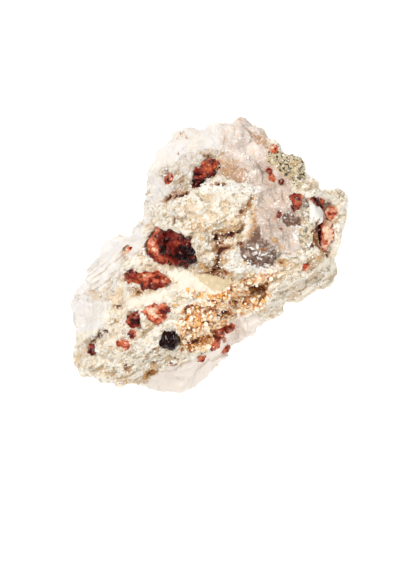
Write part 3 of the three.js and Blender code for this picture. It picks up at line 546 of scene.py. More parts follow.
def rock_material(settings):
    """Feldspar: opaque white to cream, cleaved and crumbled, so matt with a faint pearl. Quartz: grey, milky
    and greasy to glassy. Iron has stained the cracks and the crumbs ochre to rust."""
    material, tree, place = new_material("Broken feldspar and milky quartz")
    # thin layers along the foliation, about 0.5 mm apart and seven times as long
    bands = add(tree, "ShaderNodeMapping", {
        "Vector": place, "Rotation": (0, 0, math.radians(FOLIATION_STRIKE)), "Scale": (7.0, 1.0, 2.0)},
        vector_type="TEXTURE")
    lines = mottle(tree, bands, 0.6, 0.52, 0.6, 4.0)
    blotches = mottle(tree, place, 3.2, 0.42, 0.62)
    clouds = mottle(tree, place, 1.9, 0.42, 0.6, 5.0)
    grains = mottle(tree, place, 0.36, 0.5, 0.62, 3.0)
    specks = mottle(tree, place, 0.45, 0.62, 0.67, 3.0)
    tints = mottle(tree, place, 0.9, 0.54, 0.61, 4.0)
    calm = add(tree, "ShaderNodeAttribute", {}, output="Fac", attribute_name="calm")
    lively = add(tree, "ShaderNodeMapRange", {"Value": calm, "From Max": 0.8, "To Min": 1.0, "To Max": 0.12})
    # hair cracks 0.1 mm wide, where a coarse noise passes its middle, and in patches only
    wander = add(tree, "ShaderNodeTexNoise", {
        "Vector": place, "Scale": 1 / (1.7 * MM), "Detail": 5.0, "Roughness": 0.6})
    middle = add(tree, "ShaderNodeMath", {0: wander, 1: 0.5}, operation="SUBTRACT")
    off_middle = add(tree, "ShaderNodeMath", {0: middle}, operation="ABSOLUTE")
    hair = add(tree, "ShaderNodeMapRange", {
        "Value": off_middle, "From Min": 0.004, "From Max": 0.018, "To Min": 1.0, "To Max": 0.0})
    # lumps about 0.8 mm across with seams between them, drawn a little coarser than the real crumbs
    to_seam = seam_distance(tree, place, 0.9, 0.85)
    seams = add(tree, "ShaderNodeMapRange", {
        "Value": to_seam, "From Min": 0.04, "From Max": 0.24, "To Min": 1.0, "To Max": 0.0})
    feldspar = layered(tree, settings.feldspar_colour, [
        ("E9DCC4", calm, 0.5),
        (settings.cold_colour, ragged(tree, place, "cold", 1.2)),
        ("EEE3D0", blotches, 0.45),
        ("E6CC98", tints, lively, 0.4),
        ("DCC8A6", grains, lively, 0.25),
        ("CDAE7C", lines, lively, 0.4),
        ("8E6430", specks, lively, 0.6),
        # painted shade: the low points of the relief are coloured warm ochre, partly as ochre dust and partly as
        # the warm shade in recesses
        ("D6A862", ragged(tree, place, "hollow", 0.6), 0.35),
        ("8C5F2A", hair, mottle(tree, place, 3.0, 0.46, 0.56), lively, 0.85),
    ])
    quartz = layered(tree, settings.quartz_colour, [
        ("DDD3C9", blotches, 0.5),
        ("EAE1D8", ragged(tree, place, "pale", 1.6, 0.8), 0.6),
        ("AC978A", clouds, 0.55),
        ("B0835A", ragged(tree, place, "warm", 1.4, 0.8), 0.85),
        ("F0EAE4", grains, 0.5),
        ("D2A27A", tints, 0.35),
        (settings.smoky_colour, ragged(tree, place, "smoky", 1.4, 0.9),
         mottle(tree, place, 1.0, 0.26, 0.52, 5.0)),
        ("FBF6F0", specks, 0.7),
    ])
    crust = layered(tree, "DCCBA6", [
        ("9C8C6C", grains, 0.7),
        ("C8924E", tints, 0.6),
        ("2A251A", mottle(tree, place, 0.6, 0.54, 0.59, 3.0)),
    ])
    trough = layered(tree, "FFF4DC", [
        (settings.crumb_colour, mottle(tree, place, 1.1, 0.46, 0.58, 4.0)),
        ("E28E3C", seams, mottle(tree, place, 1.6, 0.36, 0.52, 3.0)),
        ("8E4210", mottle(tree, place, 0.8, 0.6, 0.66, 4.0)),
    ])
    stain_and_hollow_shade = layered(tree, settings.stain_colour, [("A9743C", seams, 0.8)])
    colour = layered(tree, feldspar, [
        ("D4C09A", ragged(tree, place, "plate", 0.5, 0.3), mottle(tree, place, 1.4, 0.25, 0.5, 5.0)),
        # grey foliation lines, with painted shade where the grey strokes lie under the bulge and along edges
        ("A8926C", lines, 0.7, ragged(tree, place, "grey", 0.9, 0.4)),
        (quartz, ragged(tree, place, "quartz", 0.8, 0.5)),
        ("E6DACE", ragged(tree, place, "slab", 0.4, 0.3)),
        (crust, ragged(tree, place, "crust", 0.8)),
        (crust, ragged(tree, place, "strip", 0.7, 0.8), 0.7),
        (trough, ragged(tree, place, "trough", 0.9)),
        # ochre stains, which also carry part of the painted shade in the hollows
        (stain_and_hollow_shade, ragged(tree, place, "stain_and_hollow_shade", 0.45, 0.75), 0.85),
        (settings.rust_colour, ragged(tree, place, "rust", 0.4, 0.8)),
        ("F8F3EA", ragged(tree, place, "fuzz", 0.45, 1.0)),
        ("F3EFE6", ragged(tree, place, "blade", 0.4, 0.2)),
        ("A86A26", ragged(tree, place, "fringe", 0.4, 0.9), 0.8),
        # dark: the cracks' own colour, together with the painted shade of the shadow lines carried by the same
        # strokes
        ("581F10", ragged(tree, place, "dark", 0.3, 0.8)),
    ])
    glassy = add(tree, "ShaderNodeAttribute", {}, output="Fac", attribute_name="glassy")
    roughness = add(tree, "ShaderNodeMapRange", {"Value": glassy, "To Min": 0.7, "To Max": 0.36})
    fine = add(tree, "ShaderNodeTexNoise", {
        "Vector": place, "Scale": 1 / (0.5 * MM), "Detail": 5.0, "Roughness": 0.75})
    depth = add(tree, "ShaderNodeMapRange", {"Value": lively, "To Min": 0.3, "To Max": 1.0})
    crumbly = add(tree, "ShaderNodeAttribute", {}, output="Fac", attribute_name="trough")
    sunk = add(tree, "ShaderNodeMath", {0: seams, 1: crumbly}, operation="MULTIPLY")
    height = add(tree, "ShaderNodeMath", {0: sunk, 1: -0.5, 2: fine}, operation="MULTIPLY_ADD")
    relief = add(tree, "ShaderNodeBump", {"Strength": depth, "Distance": 0.24 * MM, "Height": height})
    shader = add(tree, "ShaderNodeBsdfPrincipled", {
        "Base Color": colour, "Roughness": roughness, "IOR": 1.53, "Normal": relief,
        "Subsurface Weight": 0.1, "Subsurface Radius": (1.0, 0.85, 0.7), "Subsurface Scale": 0.4 * MM})
    add(tree, "ShaderNodeOutputMaterial", {"Surface": shader})
    return material


def garnet_material(name, settings, dull=False):
    """Almandine garnet: glassy and high in refraction, so it glints on each broken face. Thick parts look
    black, thin and crumbled ones orange-red."""
    material, tree, place = new_material(name)
    bright = add(tree, "ShaderNodeAttribute", {}, output="Fac", attribute_name="bright")
    # flaws in it, about 1 mm across with finer ones in them, make parts of it darker and others brighter
    flaws = add(tree, "ShaderNodeMath", {0: mottle(tree, place, 1.2, 0.36, 0.64, 4.0), 1: 1.4, 2: 0.3},
                operation="MULTIPLY_ADD")
    flecked = add(tree, "ShaderNodeMath", {0: bright, 1: flaws}, operation="MULTIPLY")
    clean = graded(tree, settings.dark_colour, flecked, [
        (0.1, 0.42, settings.red_colour), (0.42, 0.85, settings.orange_colour), (0.9, 1.3, settings.pale_colour)])
    # pale dust of crushed garnet on the brighter, broken parts, which also serves as painted highlights
    dust_and_highlight = add(tree, "ShaderNodeMapRange", {"Value": bright, "From Min": 0.2, "From Max": 0.7, "To Max": 0.55})
    to_fissure = seam_distance(tree, place, 1.2, 1.4)
    fissures = add(tree, "ShaderNodeMapRange", {
        "Value": to_fissure, "From Min": 0.01, "From Max": 0.06,
        "To Min": 0.25 if dull else 0.4, "To Max": 0.0})
    colour = layered(tree, clean, [
        ("4A1410" if dull else settings.dark_colour, fissures),
        ("E0A890", mottle(tree, place, 1.0, 0.54, 0.62, 5.0), dust_and_highlight),
    ])
    fracture = add(tree, "ShaderNodeTexNoise", {
        "Vector": place, "Scale": 1 / (0.7 * MM), "Detail": 3.0, "Roughness": 0.6})
    relief = add(tree, "ShaderNodeBump", {"Strength": 0.35, "Distance": 0.2 * MM, "Height": fracture})
    roughness = add(tree, "ShaderNodeMapRange", {
        "Value": flecked, "From Min": 0.3, "From Max": 1.2,
        "To Min": settings.roughness, "To Max": 0.55 if dull else 0.4})
    shader = add(tree, "ShaderNodeBsdfPrincipled", {
        "Base Color": colour, "Roughness": roughness, "IOR": 1.6 if dull else 1.75,
        "Specular IOR Level": 0.09, "Normal": relief})
    add(tree, "ShaderNodeOutputMaterial", {"Surface": shader})
    return material


def crumb_material(settings):
    """Sugary crumbs: iron-stained feldspar and garnet grains up to a millimetre across, from cream to brown."""
    material, tree, place = new_material("Iron-stained crumbs")
    tone = add(tree, "ShaderNodeAttribute", {}, output="Fac", attribute_name="tone")
    grains = graded(tree, "FDF0D8", tone, [
        (0.15, 0.55, settings.crumb_colour), (0.6, 0.8, settings.rust_colour), (0.85, 1.0, "3A1A0C")])
    colour = layered(tree, grains, [("FFF6DF", mottle(tree, place, 0.3, 0.45, 0.7), 0.25)])
    shader = add(tree, "ShaderNodeBsdfPrincipled", {
        "Base Color": colour, "Roughness": 0.4, "IOR": 1.54,
        "Subsurface Weight": 0.15, "Subsurface Radius": (1.0, 0.7, 0.4), "Subsurface Scale": 0.4 * MM})
    add(tree, "ShaderNodeOutputMaterial", {"Surface": shader})
    return material


def fleck_material():
    """Flecks of feldspar broken off along its cleavage: white to cream, with a faint pearl."""
    material, tree, place = new_material("Feldspar flecks")
    tone = add(tree, "ShaderNodeAttribute", {}, output="Fac", attribute_name="tone")
    grains = graded(tree, "F8F5F0", tone, [(0.4, 0.8, "E4D8C2"), (0.86, 1.0, "A08A6A")])
    colour = layered(tree, grains, [("CFC6BA", mottle(tree, place, 0.25, 0.5, 0.7), 0.2)])
    shader = add(tree, "ShaderNodeBsdfPrincipled", {
        "Base Color": colour, "Roughness": 0.5, "IOR": 1.53,
        "Subsurface Weight": 0.15, "Subsurface Radius": (1.0, 0.9, 0.8), "Subsurface Scale": 0.4 * MM})
    add(tree, "ShaderNodeOutputMaterial", {"Surface": shader})
    return material


# Rock
def foliation_level(points):
    """How far each point lies across the foliation, in millimetres, with the waver of the layers."""
    strike, dip = math.radians(FOLIATION_STRIKE), math.radians(FOLIATION_DIP)
    across = np.array([math.sin(strike) * math.sin(dip), -math.cos(strike) * math.sin(dip), math.cos(dip)])
    return points @ across + 0.7 * rough_bumps(points, 6.0, 40) + 0.25 * rough_bumps(points, 1.8, 44, 2)


def ledges(points, spacing, seed):
    """Steps along the foliation, from -0.5 to 0.5, each layer broken off at a height of its own."""
    level = foliation_level(points) / spacing
    layer = np.floor(level)
    run = fade(0.7, 1.0, level - layer)
    blocks = np.floor(wavered(points, 3.0, 1.2, seed + 5) / 3.5)
    this, following = (cell_number(np.stack([layer + step, blocks[:, 0], blocks[:, 1]], axis=1), seed)
                       for step in (0, 1))
    return this * (1 - run) + following * run - 0.5


def as_seen(points):
    """Where the camera sees each point, on the level that the lists of places are measured at."""
    spread = (CAMERA_HEIGHT - MEASURED_LEVEL) / (CAMERA_HEIGHT - points[:, 2])
    seen = points.copy()
    seen[:, 0] = CAMERA_PLACE[0] + (points[:, 0] - CAMERA_PLACE[0]) * spread
    seen[:, 1] = CAMERA_PLACE[1] + (points[:, 1] - CAMERA_PLACE[1]) * spread
    return seen


def crystal_place(node, points):
    """The points of a garnet's solid, moved so that the camera sees them at their measured place."""
    spread = (CAMERA_HEIGHT - points[:, 2].mean()) / (CAMERA_HEIGHT - MEASURED_LEVEL)
    middle = points[:, :2].mean(axis=0) - CAMERA_PLACE
    return points + np.array([*(middle * (spread - 1) + GARNET_FITS.get(node, (0, 0, 0))[:2]), 0])


def rock_areas(points, outward):
    """How far each point belongs to each area and narrow feature of the rock, by name."""
    up = fade(-0.2, 0.25, outward[:, 2])
    seen = as_seen(points)
    # down the sides the areas follow the foliation, and waver more
    side = fade(0.5, 0.0, outward[:, 2])[:, None]
    sunk = np.maximum(0, MEASURED_LEVEL - points[:, 2])[:, None]
    waver = np.stack([rough_bumps(points, 6.0, 50), rough_bumps(points, 6.0, 54)], axis=1)
    seen[:, :2] += side * (0.5 * sunk * FOLIATION_LEAN + 2.4 * waver)
    loose = wavered(seen, 1.4, 0.4, 60)
    close = wavered(seen, 0.9, 0.36, 70)
    areas = {
        "quartz": inside(loose, QUARTZ),
        "smoky": inside_any(loose, SMOKY_QUARTZ),
        "warm": inside_any(loose, WARM_QUARTZ, 0.6),
        "pale": inside(loose, PALE_QUARTZ, 1.0),
        "cold": inside_any(loose, COLD_FELDSPAR, 1.0),
        "crust": inside(loose, CRUST) * up,
        "strip": inside(loose, CRUMBLY_STRIP) * up,
        "trough": inside(loose, TROUGH) * up,
        "slab": inside(close, CLEAN_SLAB, 0.2),
        "smooth": inside_any(loose, SMOOTH_FACES, 0.6),
        "blade": inside(seen, WHITE_BLADE, 0.12) * up,
        "plate": inside(close, YELLOW_PLATE, 0.2) * up,
        # dark and fringe follow the crack strokes, which include painted shadow lines; the fringe is a wider
        # brown edge, iron stain at the cracks and a soft edge of painted shade at the shadow lines
        "dark": strokes(close, CRACKS_AND_SHADOW_LINES, widen=0.85) * up * fade(-0.7, 0.1, rough_bumps(points, 0.8, 65)),
        "fringe": strokes(loose, CRACKS_AND_SHADOW_LINES, 0.7, 1.8) * up,
        "stain_and_hollow_shade": strokes(loose, STAINS, 0.7) * up,
        "rust": strokes(close, RUST, 0.6) * up,
        "fuzz": strokes(loose, WHITE_FUZZ, 0.6) * up,
        "grey": strokes(loose, GREY_LINES_AND_SHADE, 0.6) * up,
    }
    areas["glassy"] = np.maximum(areas["quartz"] * (1 - areas["fuzz"]), 0.8 * areas["slab"])
    return areas


def closed_round_garnets(points):
    """The points with the rim and wall of each socket drawn to its garnet, and how near each is to a garnet,
    from 0 at a millimetre to 1 on it."""
    corners, faces = [], []
    for node in GARNET_BRIGHTNESS:
        mesh = frame["nodes"][node].data
        faces += [[len(corners) + v for v in face.vertices] for face in mesh.polygons]
        corners += crystal_place(node, np.array([v.co for v in mesh.vertices]) / MM).tolist()
    tree = BVHTree.FromPolygons(corners, faces)
    drawn = points.copy()
    near = np.zeros(len(points))
    raggedness = rough_bumps(points, 1.0, 21)
    for i, point in enumerate(points):
        surface, _, _, away = tree.find_nearest(Vector(point), 1.0)
        if surface is not None:
            near[i] = 1 - away
            # in full within 0.4 mm of the garnet, and less and less out to 0.7 mm
            pull = (0.9 + 0.7 * raggedness[i]) * max(0.0, min(1.0, (0.7 - away) / 0.3))
            drawn[i] += (np.array(surface) - point) * pull
    return drawn, near


def roughen(rock, sizes):
    """Breaks the copy of the solid into ledges, chips and cracks, and stores what its material reads."""
    points, outward = points_of(rock)
    for x, y, reach, push in SIDE_PUSHES:
        share = push * (1 - fade(0.2, 1.0, np.hypot(points[:, 0] - x, points[:, 1] - y) / reach))
        points[:, :2] += outward[:, :2] * share[:, None]
    points, near = closed_round_garnets(points)
    areas = rock_areas(points, outward)
    foot = fade(0.35, 0.05, points[:, 2]) * fade(-0.8, -0.95, outward[:, 2])
    side = fade(0.45, 0.1, outward[:, 2])
    calm = np.maximum.reduce([
        0.78 * areas.pop("smooth"), 0.6 * areas["quartz"], 0.9 * areas["slab"], areas["blade"],
        0.8 * areas["plate"], 0.45 * side])
    crumbly = np.maximum.reduce([areas["trough"], 0.7 * areas["crust"], 0.7 * areas["strip"]])
    # ledges 1.5 mm apart with finer ones between, and chips 1.6 mm across with finer ones on them
    layers = sizes.ledge_height / MM * (ledges(points, 1.5, 1) + 0.45 * ledges(points, 0.7, 2))
    chips = sizes.chip_height / MM * (facets(points, 1.6, 3) + 0.6 * facets(points, 0.8, 4))
    pitted = 0.42 * rough_bumps(points, 0.9, 5, 2)
    relief = (1 - calm) * (layers + chips) + crumbly * pitted + 0.12 * rough_bumps(points, 4.0, 6)
    relief += calm * (0.2 * chips + 0.35 * facets(points, 3.6, 8) * (1 - areas["blade"]))
    relief *= 1 - 0.7 * fade(0.5, 0.9, near)
    # under the widest level the lump is broken off in large slanting faces
    undercut = side * fade(7.5, 5.0, points[:, 2]) * fade(0.4, 1.6, points[:, 2])
    relief -= 1.5 * undercut * fade(-0.5, 0.9, facets(points, 5.5, 9))
    raised = 0.12 * areas["fuzz"] + 0.45 * areas["blade"]
    height = relief - 0.5 * areas["dark"] - 0.15 * areas["rust"] + raised
    moved = points + outward * (height * (1 - foot))[:, None]
    lowest = np.array(SOLID_LOW) / MM - ROCK_PAST_BOX[0]
    highest = np.array(SOLID_HIGH) / MM + ROCK_PAST_BOX[1]
    moved = np.clip(moved, lowest, highest)
    moved[:, 2] = np.maximum(moved[:, 2], 0)
    set_points(rock, moved)
    areas["calm"] = calm
    # the low points of the relief, which get painted shade: a warm, darker colour as if in shadow, with some
    # ochre dust
    areas["hollow"] = fade(0.05, -0.3, relief) * (1 - calm)
    # nobody has seen the sides: they are stained in patches as the top is
    hidden = fade(0.1, -0.1, outward[:, 2])
    patches = fade(0.25, 0.7, rough_bumps(points, 5.0, 30))
    # the stain layer also takes a share of the painted shade in the hollows
    areas["stain_and_hollow_shade"] = np.maximum.reduce([
        areas["stain_and_hollow_shade"], 0.3 * areas["hollow"] * (1 - areas["cold"]), 0.6 * fade(0.35, 0.8, near),
        0.8 * hidden * patches])
    areas["grey"] = np.maximum(areas["grey"], 0.7 * hidden * fade(0.0, 0.5, rough_bumps(points, 7.0, 34)))
    for name, amounts in areas.items():
        store(rock, name, amounts)


# Crumbs, flecks and side garnets
GRAIN_CUTS = [
    ([((1, 0.3, 0.2), 0.26), ((-0.4, 1, 0.3), 0.3), ((-0.6, -0.8, 0.4), 0.3), ((0.1, 0.2, -1), 0.28)],
     (1.1, 0.8, 0.7)),
    ([((0.2, -1, 0.5), 0.22), ((-1, 0.1, -0.2), 0.32), ((0.7, 0.6, 0.5), 0.3), ((0.3, 0.2, -1), 0.24)],
     (1.3, 0.75, 0.6)),
    ([((0.5, 0.6, 1), 0.25), ((0.8, -0.7, 0.1), 0.3), ((-0.9, 0.2, 0.3), 0.28), ((-0.2, -0.6, -1), 0.3)],
     (1.0, 1.0, 0.8)),
]


def grain_template(name, cuts, squash):
    """One angular grain about a millimetre across, cut from an icosphere."""
    bpy.ops.object.select_all(action="DESELECT")
    bpy.ops.mesh.primitive_ico_sphere_add(subdivisions=1, radius=0.5 * MM, location=(0, 0, 0))
    grain = bpy.context.object
    grain.name = name
    bpy.ops.object.mode_set(mode="EDIT")
    for direction, depth in cuts:
        bpy.ops.mesh.select_all(action="SELECT")
        toward = Vector(direction).normalized()
        bpy.ops.mesh.bisect(plane_co=toward * depth * MM, plane_no=toward, use_fill=True, clear_outer=True)
    bpy.ops.mesh.select_all(action="SELECT")
    bpy.ops.transform.resize(value=squash)
    bpy.ops.mesh.quads_convert_to_tris()
    bpy.ops.object.mode_set(mode="OBJECT")
    return grain


def scatter(piece_name, rock, weight, count, smallest, largest, sink, seed, tone):
    """A joined mesh of grains on the rock, most where the weight is high, with small ones the commonest. The sink
    is the share of a grain that lies in the rock."""
    corners, faces = [], []
    for kind, (cuts, squash) in enumerate(GRAIN_CUTS):
        grain = grain_template(f"{piece_name}_{kind}", cuts, squash)
        corners.append(points_of(grain)[0])
        faces.append(np.array([list(face.vertices) for face in grain.data.polygons]))
        bpy.data.objects.remove(grain)
    random = np.random.default_rng(seed)
    points, outward = points_of(rock)
    chosen = random.choice(len(points), size=count, replace=True, p=weight / weight.sum())
    all_points, all_faces, tones = [], [], []
    start = 0
    for i, home in enumerate(chosen):
        kind = i % len(GRAIN_CUTS)
        size = smallest + (largest - smallest) * random.random() ** 2.2
        turn = np.array(Matrix.Rotation(random.random() * math.tau, 3, Vector(random.normal(size=3))))
        middle = points[home] + outward[home] * size * (0.5 - sink) + random.normal(size=3) * 0.08
        grain_points = corners[kind] @ turn.T * size + middle
        all_points.append(grain_points)
        all_faces.append(faces[kind] + start)
        tones.append(np.full(len(grain_points), tone(home, random)))
        start += len(grain_points)
    mesh = bpy.data.meshes.new(piece_name)
    all_points = np.concatenate(all_points)
    all_points[:, 2] = np.maximum(all_points[:, 2], 0.02)
    mesh.from_pydata((all_points * MM).tolist(), [], np.concatenate(all_faces).tolist())
    piece = bpy.data.objects.new(piece_name, mesh)
    bpy.context.scene.collection.objects.link(piece)
    store(piece, "tone", np.concatenate(tones))
    return piece


# Settings
def colour_property(name, description, hex_colour):
    return bpy.props.FloatVectorProperty(name=name, description=description, default=linear(hex_colour), size=4,
                                         min=0.0, max=1.0, subtype="COLOR")


def amount_property(name, description, amount, **limits):
    return bpy.props.FloatProperty(name=name, description=description, default=amount, min=0.0, **limits)


def length_property(name, description, millimetres):
    return amount_property(name, description, millimetres * MM, precision=5, subtype="DISTANCE", unit="LENGTH")


def count_property(name, description, count):
    return bpy.props.IntProperty(name=name, description=description, default=count, min=1)


class RockSettings(bpy.types.PropertyGroup):
    grain: length_property("Mesh grain", "Edge of the cells that the rock is meshed in", 0.26)
    ledge_height: length_property("Ledge height", "Height of the steps along the foliation", 0.36)
    chip_height: length_property("Chip height", "Height of the broken facets", 0.38)
    feldspar_colour: colour_property("Feldspar", "Colour of the cream feldspar", "F7F1E4")
    cold_colour: colour_property("Cold feldspar", "Colour of the greyish-white feldspar", "EAE5E1")
    quartz_colour: colour_property("Quartz", "Colour of the milky quartz", "CDB6A2")
    smoky_colour: colour_property("Smoky quartz", "Colour of the smoky quartz", "6E4C38")
    stain_colour: colour_property("Stain", "Colour of the ochre stains", "DDAC62")
    rust_colour: colour_property("Rust", "Colour of the rusty stains", "9A4C1C")
    crumb_colour: colour_property("Trough", "Colour of the rock in the crumbly trough", "F5C678")


class GarnetSettings(bpy.types.PropertyGroup):
    fracture: length_property("Fracture", "Height of the broken facets of a garnet", 0.42)
    roughness: amount_property("Roughness", "Roughness of the dark garnet faces", 0.14, max=1.0,
                               subtype="FACTOR")
    dark_colour: colour_property("Dark garnet", "Colour of the thick, dark parts", "1A0506")
    red_colour: colour_property("Red garnet", "Colour of the deep red parts", "86261A")
    orange_colour: colour_property("Orange garnet", "Colour of the thin, fractured parts", "D26A42")
    pale_colour: colour_property("Pale garnet", "Colour of the crumbled pale parts", "F6D2B4")


class CrumbSettings(bpy.types.PropertyGroup):
    crumb_count: count_property("Crumbs", "Number of crumbs in the trough", 800)
    crumb_size: length_property("Largest crumb", "Size of the largest crumb", 1.1)
    side_garnet_count: count_property("Side garnets", "Number of small garnets on the sides", 22)
    fleck_count: count_property("Flecks", "Number of feldspar flecks", 2800)
    fleck_size: length_property("Largest fleck", "Size of the largest fleck", 0.55)
    crumb_colour: colour_property("Crumbs", "Colour of the ochre crumbs", "EFB25A")
    rust_colour: colour_property("Rusty crumbs", "Colour of the rusty crumbs", "A84A10")


class StageSettings(bpy.types.PropertyGroup):
    floor_colour: colour_property("Floor", "Colour of the pale floor", "F4F4F4")
    key_power: amount_property("Key light", "Power of the key light", 0.71, unit="POWER")
    sky_strength: amount_property("Fill", "Strength of the white light all round", 0.25)


# Operators
class SPECIMEN_OT_rock(bpy.types.Operator):
    """Builds the rock on a fine copy of its solid, with its ledges, chips, cracks and stains"""
    bl_idname = "specimen.rock"
    bl_label = "Build the rock"

    def execute(self, context):
        sizes = context.scene.specimen_rock
        rock = copy_of_solid(ROCK_NODE, "matrix_rock")
        modifier = rock.modifiers.new("Remesh", "REMESH")
        modifier.mode = "VOXEL"
        modifier.voxel_size = sizes.grain
        bpy.ops.object.modifier_apply(modifier=modifier.name)
        roughen(rock, sizes)
        only(rock)
        bpy.ops.object.shade_smooth_by_angle(angle=math.radians(30))
        finish_piece(rock, rock_material(sizes), [ROCK_NODE])
        return {"FINISHED"}


class SPECIMEN_OT_garnets(bpy.types.Operator):
    """Builds the garnets, each on a copy of its solid, grown to meet the rock and broken into facets"""
    bl_idname = "specimen.garnets"
    bl_label = "Build the garnets"

    def execute(self, context):
        sizes = context.scene.specimen_garnets
        materials = {
            "garnet": garnet_material("Almandine garnet", sizes),
            "black_garnet": garnet_material("Dark almandine garnet", sizes),
            "peach_garnet": garnet_material("Crumbled pale garnet", sizes, dull=True),
        }
        slots = {part["node"]: part["material_slot"] for part in frame["record"]["subparts"]}
        for number, (node, brightness) in enumerate(GARNET_BRIGHTNESS.items()):
            gem = copy_of_solid(node, node + "_crystal")
            points, outward = points_of(gem)
            growth = GAP_SHARE * SOCKET_GAP + GARNET_FITS.get(node, (0, 0, 0))[2]
            set_points(gem, crystal_place(node, points) + outward * growth)
            across = np.ptp(points, axis=0).max()
            refine(gem, 0.3)
            points, outward = points_of(gem)
            # facets 1.2 mm across with finer ones on them, lower on a crystal under 4 mm across
            broken = facets(points, 1.2, 80 + number) + 0.6 * facets(points, 0.5, 90)
            broken *= sizes.fracture / MM * min(1.0, across / 4.0)
            # thin edges let more light through than the thick middle
            edge = fade(0.5, 0.0, outward[:, 2])
            tones_and_shade = brightness * (1 + 0.3 * edge) + 0.12 * rough_bumps(points, 1.0, 95)
            # the listed patches, among them painted shade on the shadowed sides of some crystals and between the
            # upper beads
            for ax, ay, bx, by, wide, bright in GARNET_TONES_AND_SHADE:
                near = 1 - fade(0.6, 1.3, line_distance(points, ax, ay, bx, by) / wide)
                tones_and_shade += near * (bright - tones_and_shade)
            moved = points + outward * broken[:, None]
            moved[:, 2] = np.clip(moved[:, 2], 0.1, SOLID_HIGH[2] / MM + 0.3)
            set_points(gem, moved)
            store(gem, "bright", tones_and_shade)
            only(gem)
            bpy.ops.object.shade_smooth_by_angle(angle=math.radians(24))
            finish_piece(gem, materials[slots[node]], [node])
        return {"FINISHED"}


class SPECIMEN_OT_crumbs(bpy.types.Operator):
    """Scatters the ochre crumbs in the trough of the rock"""
    bl_idname = "specimen.crumbs"
    bl_label = "Scatter the crumbs"

    def execute(self, context):
        sizes = context.scene.specimen_crumbs
        rock = bpy.data.objects["matrix_rock"]
        rust, dark, trough, stain_and_hollow_shade = stored(rock, "rust", "dark", "trough", "stain_and_hollow_shade")
        # crumbs turn rustier near the dark strokes too, and some of those strokes are painted shadow lines
        rusty = np.maximum(rust, dark)
        weight = trough ** 2 * (1.02 - dark) + 0.05 * stain_and_hollow_shade
        weight[weight < 0.04] = 0

        def tone(home, random):
            return float(np.clip(0.08 + 0.5 * rusty[home] + random.normal() * 0.2, 0, 1))

        crumbs = scatter("trough_crumbs", rock, weight, sizes.crumb_count, smallest=0.2,
                         largest=sizes.crumb_size / MM, sink=0.55, seed=11, tone=tone)
        finish_piece(crumbs, crumb_material(sizes), [])
        return {"FINISHED"}


class SPECIMEN_OT_flecks(bpy.types.Operator):
    """Scatters the white flecks over the feldspar and the rim of the quartz"""
    bl_idname = "specimen.flecks"
    bl_label = "Scatter the flecks"

    def execute(self, context):
        sizes = context.scene.specimen_crumbs
        rock = bpy.data.objects["matrix_rock"]
        slab, dark, quartz, calm, fuzz = stored(rock, "slab", "dark", "quartz", "calm", "fuzz")
        strip, crust, trough = stored(rock, "strip", "crust", "trough")
        bare = np.maximum.reduce([slab, dark, 0.9 * quartz, 1.1 * calm])
        weight = 0.12 + 0.4 * strip + 0.2 * crust + 0.05 * trough
        weight = np.maximum(weight * (1 - np.clip(bare, 0, 1)), 0.4 * fuzz)
        weight *= points_of(rock)[0][:, 2] > 1.0

        def tone(home, random):
            return float(np.clip(0.3 + random.normal() * 0.22, 0, 1))

        flecks = scatter("feldspar_flecks", rock, weight, sizes.fleck_count, smallest=0.15,
                         largest=sizes.fleck_size / MM, sink=0.35, seed=12, tone=tone)
        finish_piece(flecks, fleck_material(), [])
        return {"FINISHED"}


class SPECIMEN_OT_side_garnets(bpy.types.Operator):
    """Sets small garnets in the sides of the rock, under the rim that is seen from above"""
    bl_idname = "specimen.side_garnets"
    bl_label = "Set the side garnets"

    def execute(self, context):
        rock = bpy.data.objects["matrix_rock"]
        points, outward = points_of(rock)
        quartz, slab = stored(rock, "quartz", "slab")
        weight = (outward[:, 2] < 0.0) & (points[:, 2] > 2.0) & (points[:, 2] < 8.5)
        weight = weight * (1 - np.clip(quartz + slab, 0, 1))
        weight *= fade(0.0, 0.4, rough_bumps(points, 5.0, 38))

        def tone(home, random):
            return float(random.uniform(0.2, 0.8))

        count = context.scene.specimen_crumbs.side_garnet_count
        gems = scatter("side_garnets", rock, weight, count, smallest=1.0, largest=3.0, sink=0.66, seed=13,
                       tone=tone)
        store(gems, "bright", stored(gems, "tone")[0])
        finish_piece(gems, bpy.data.materials["Almandine garnet"], [])
        return {"FINISHED"}


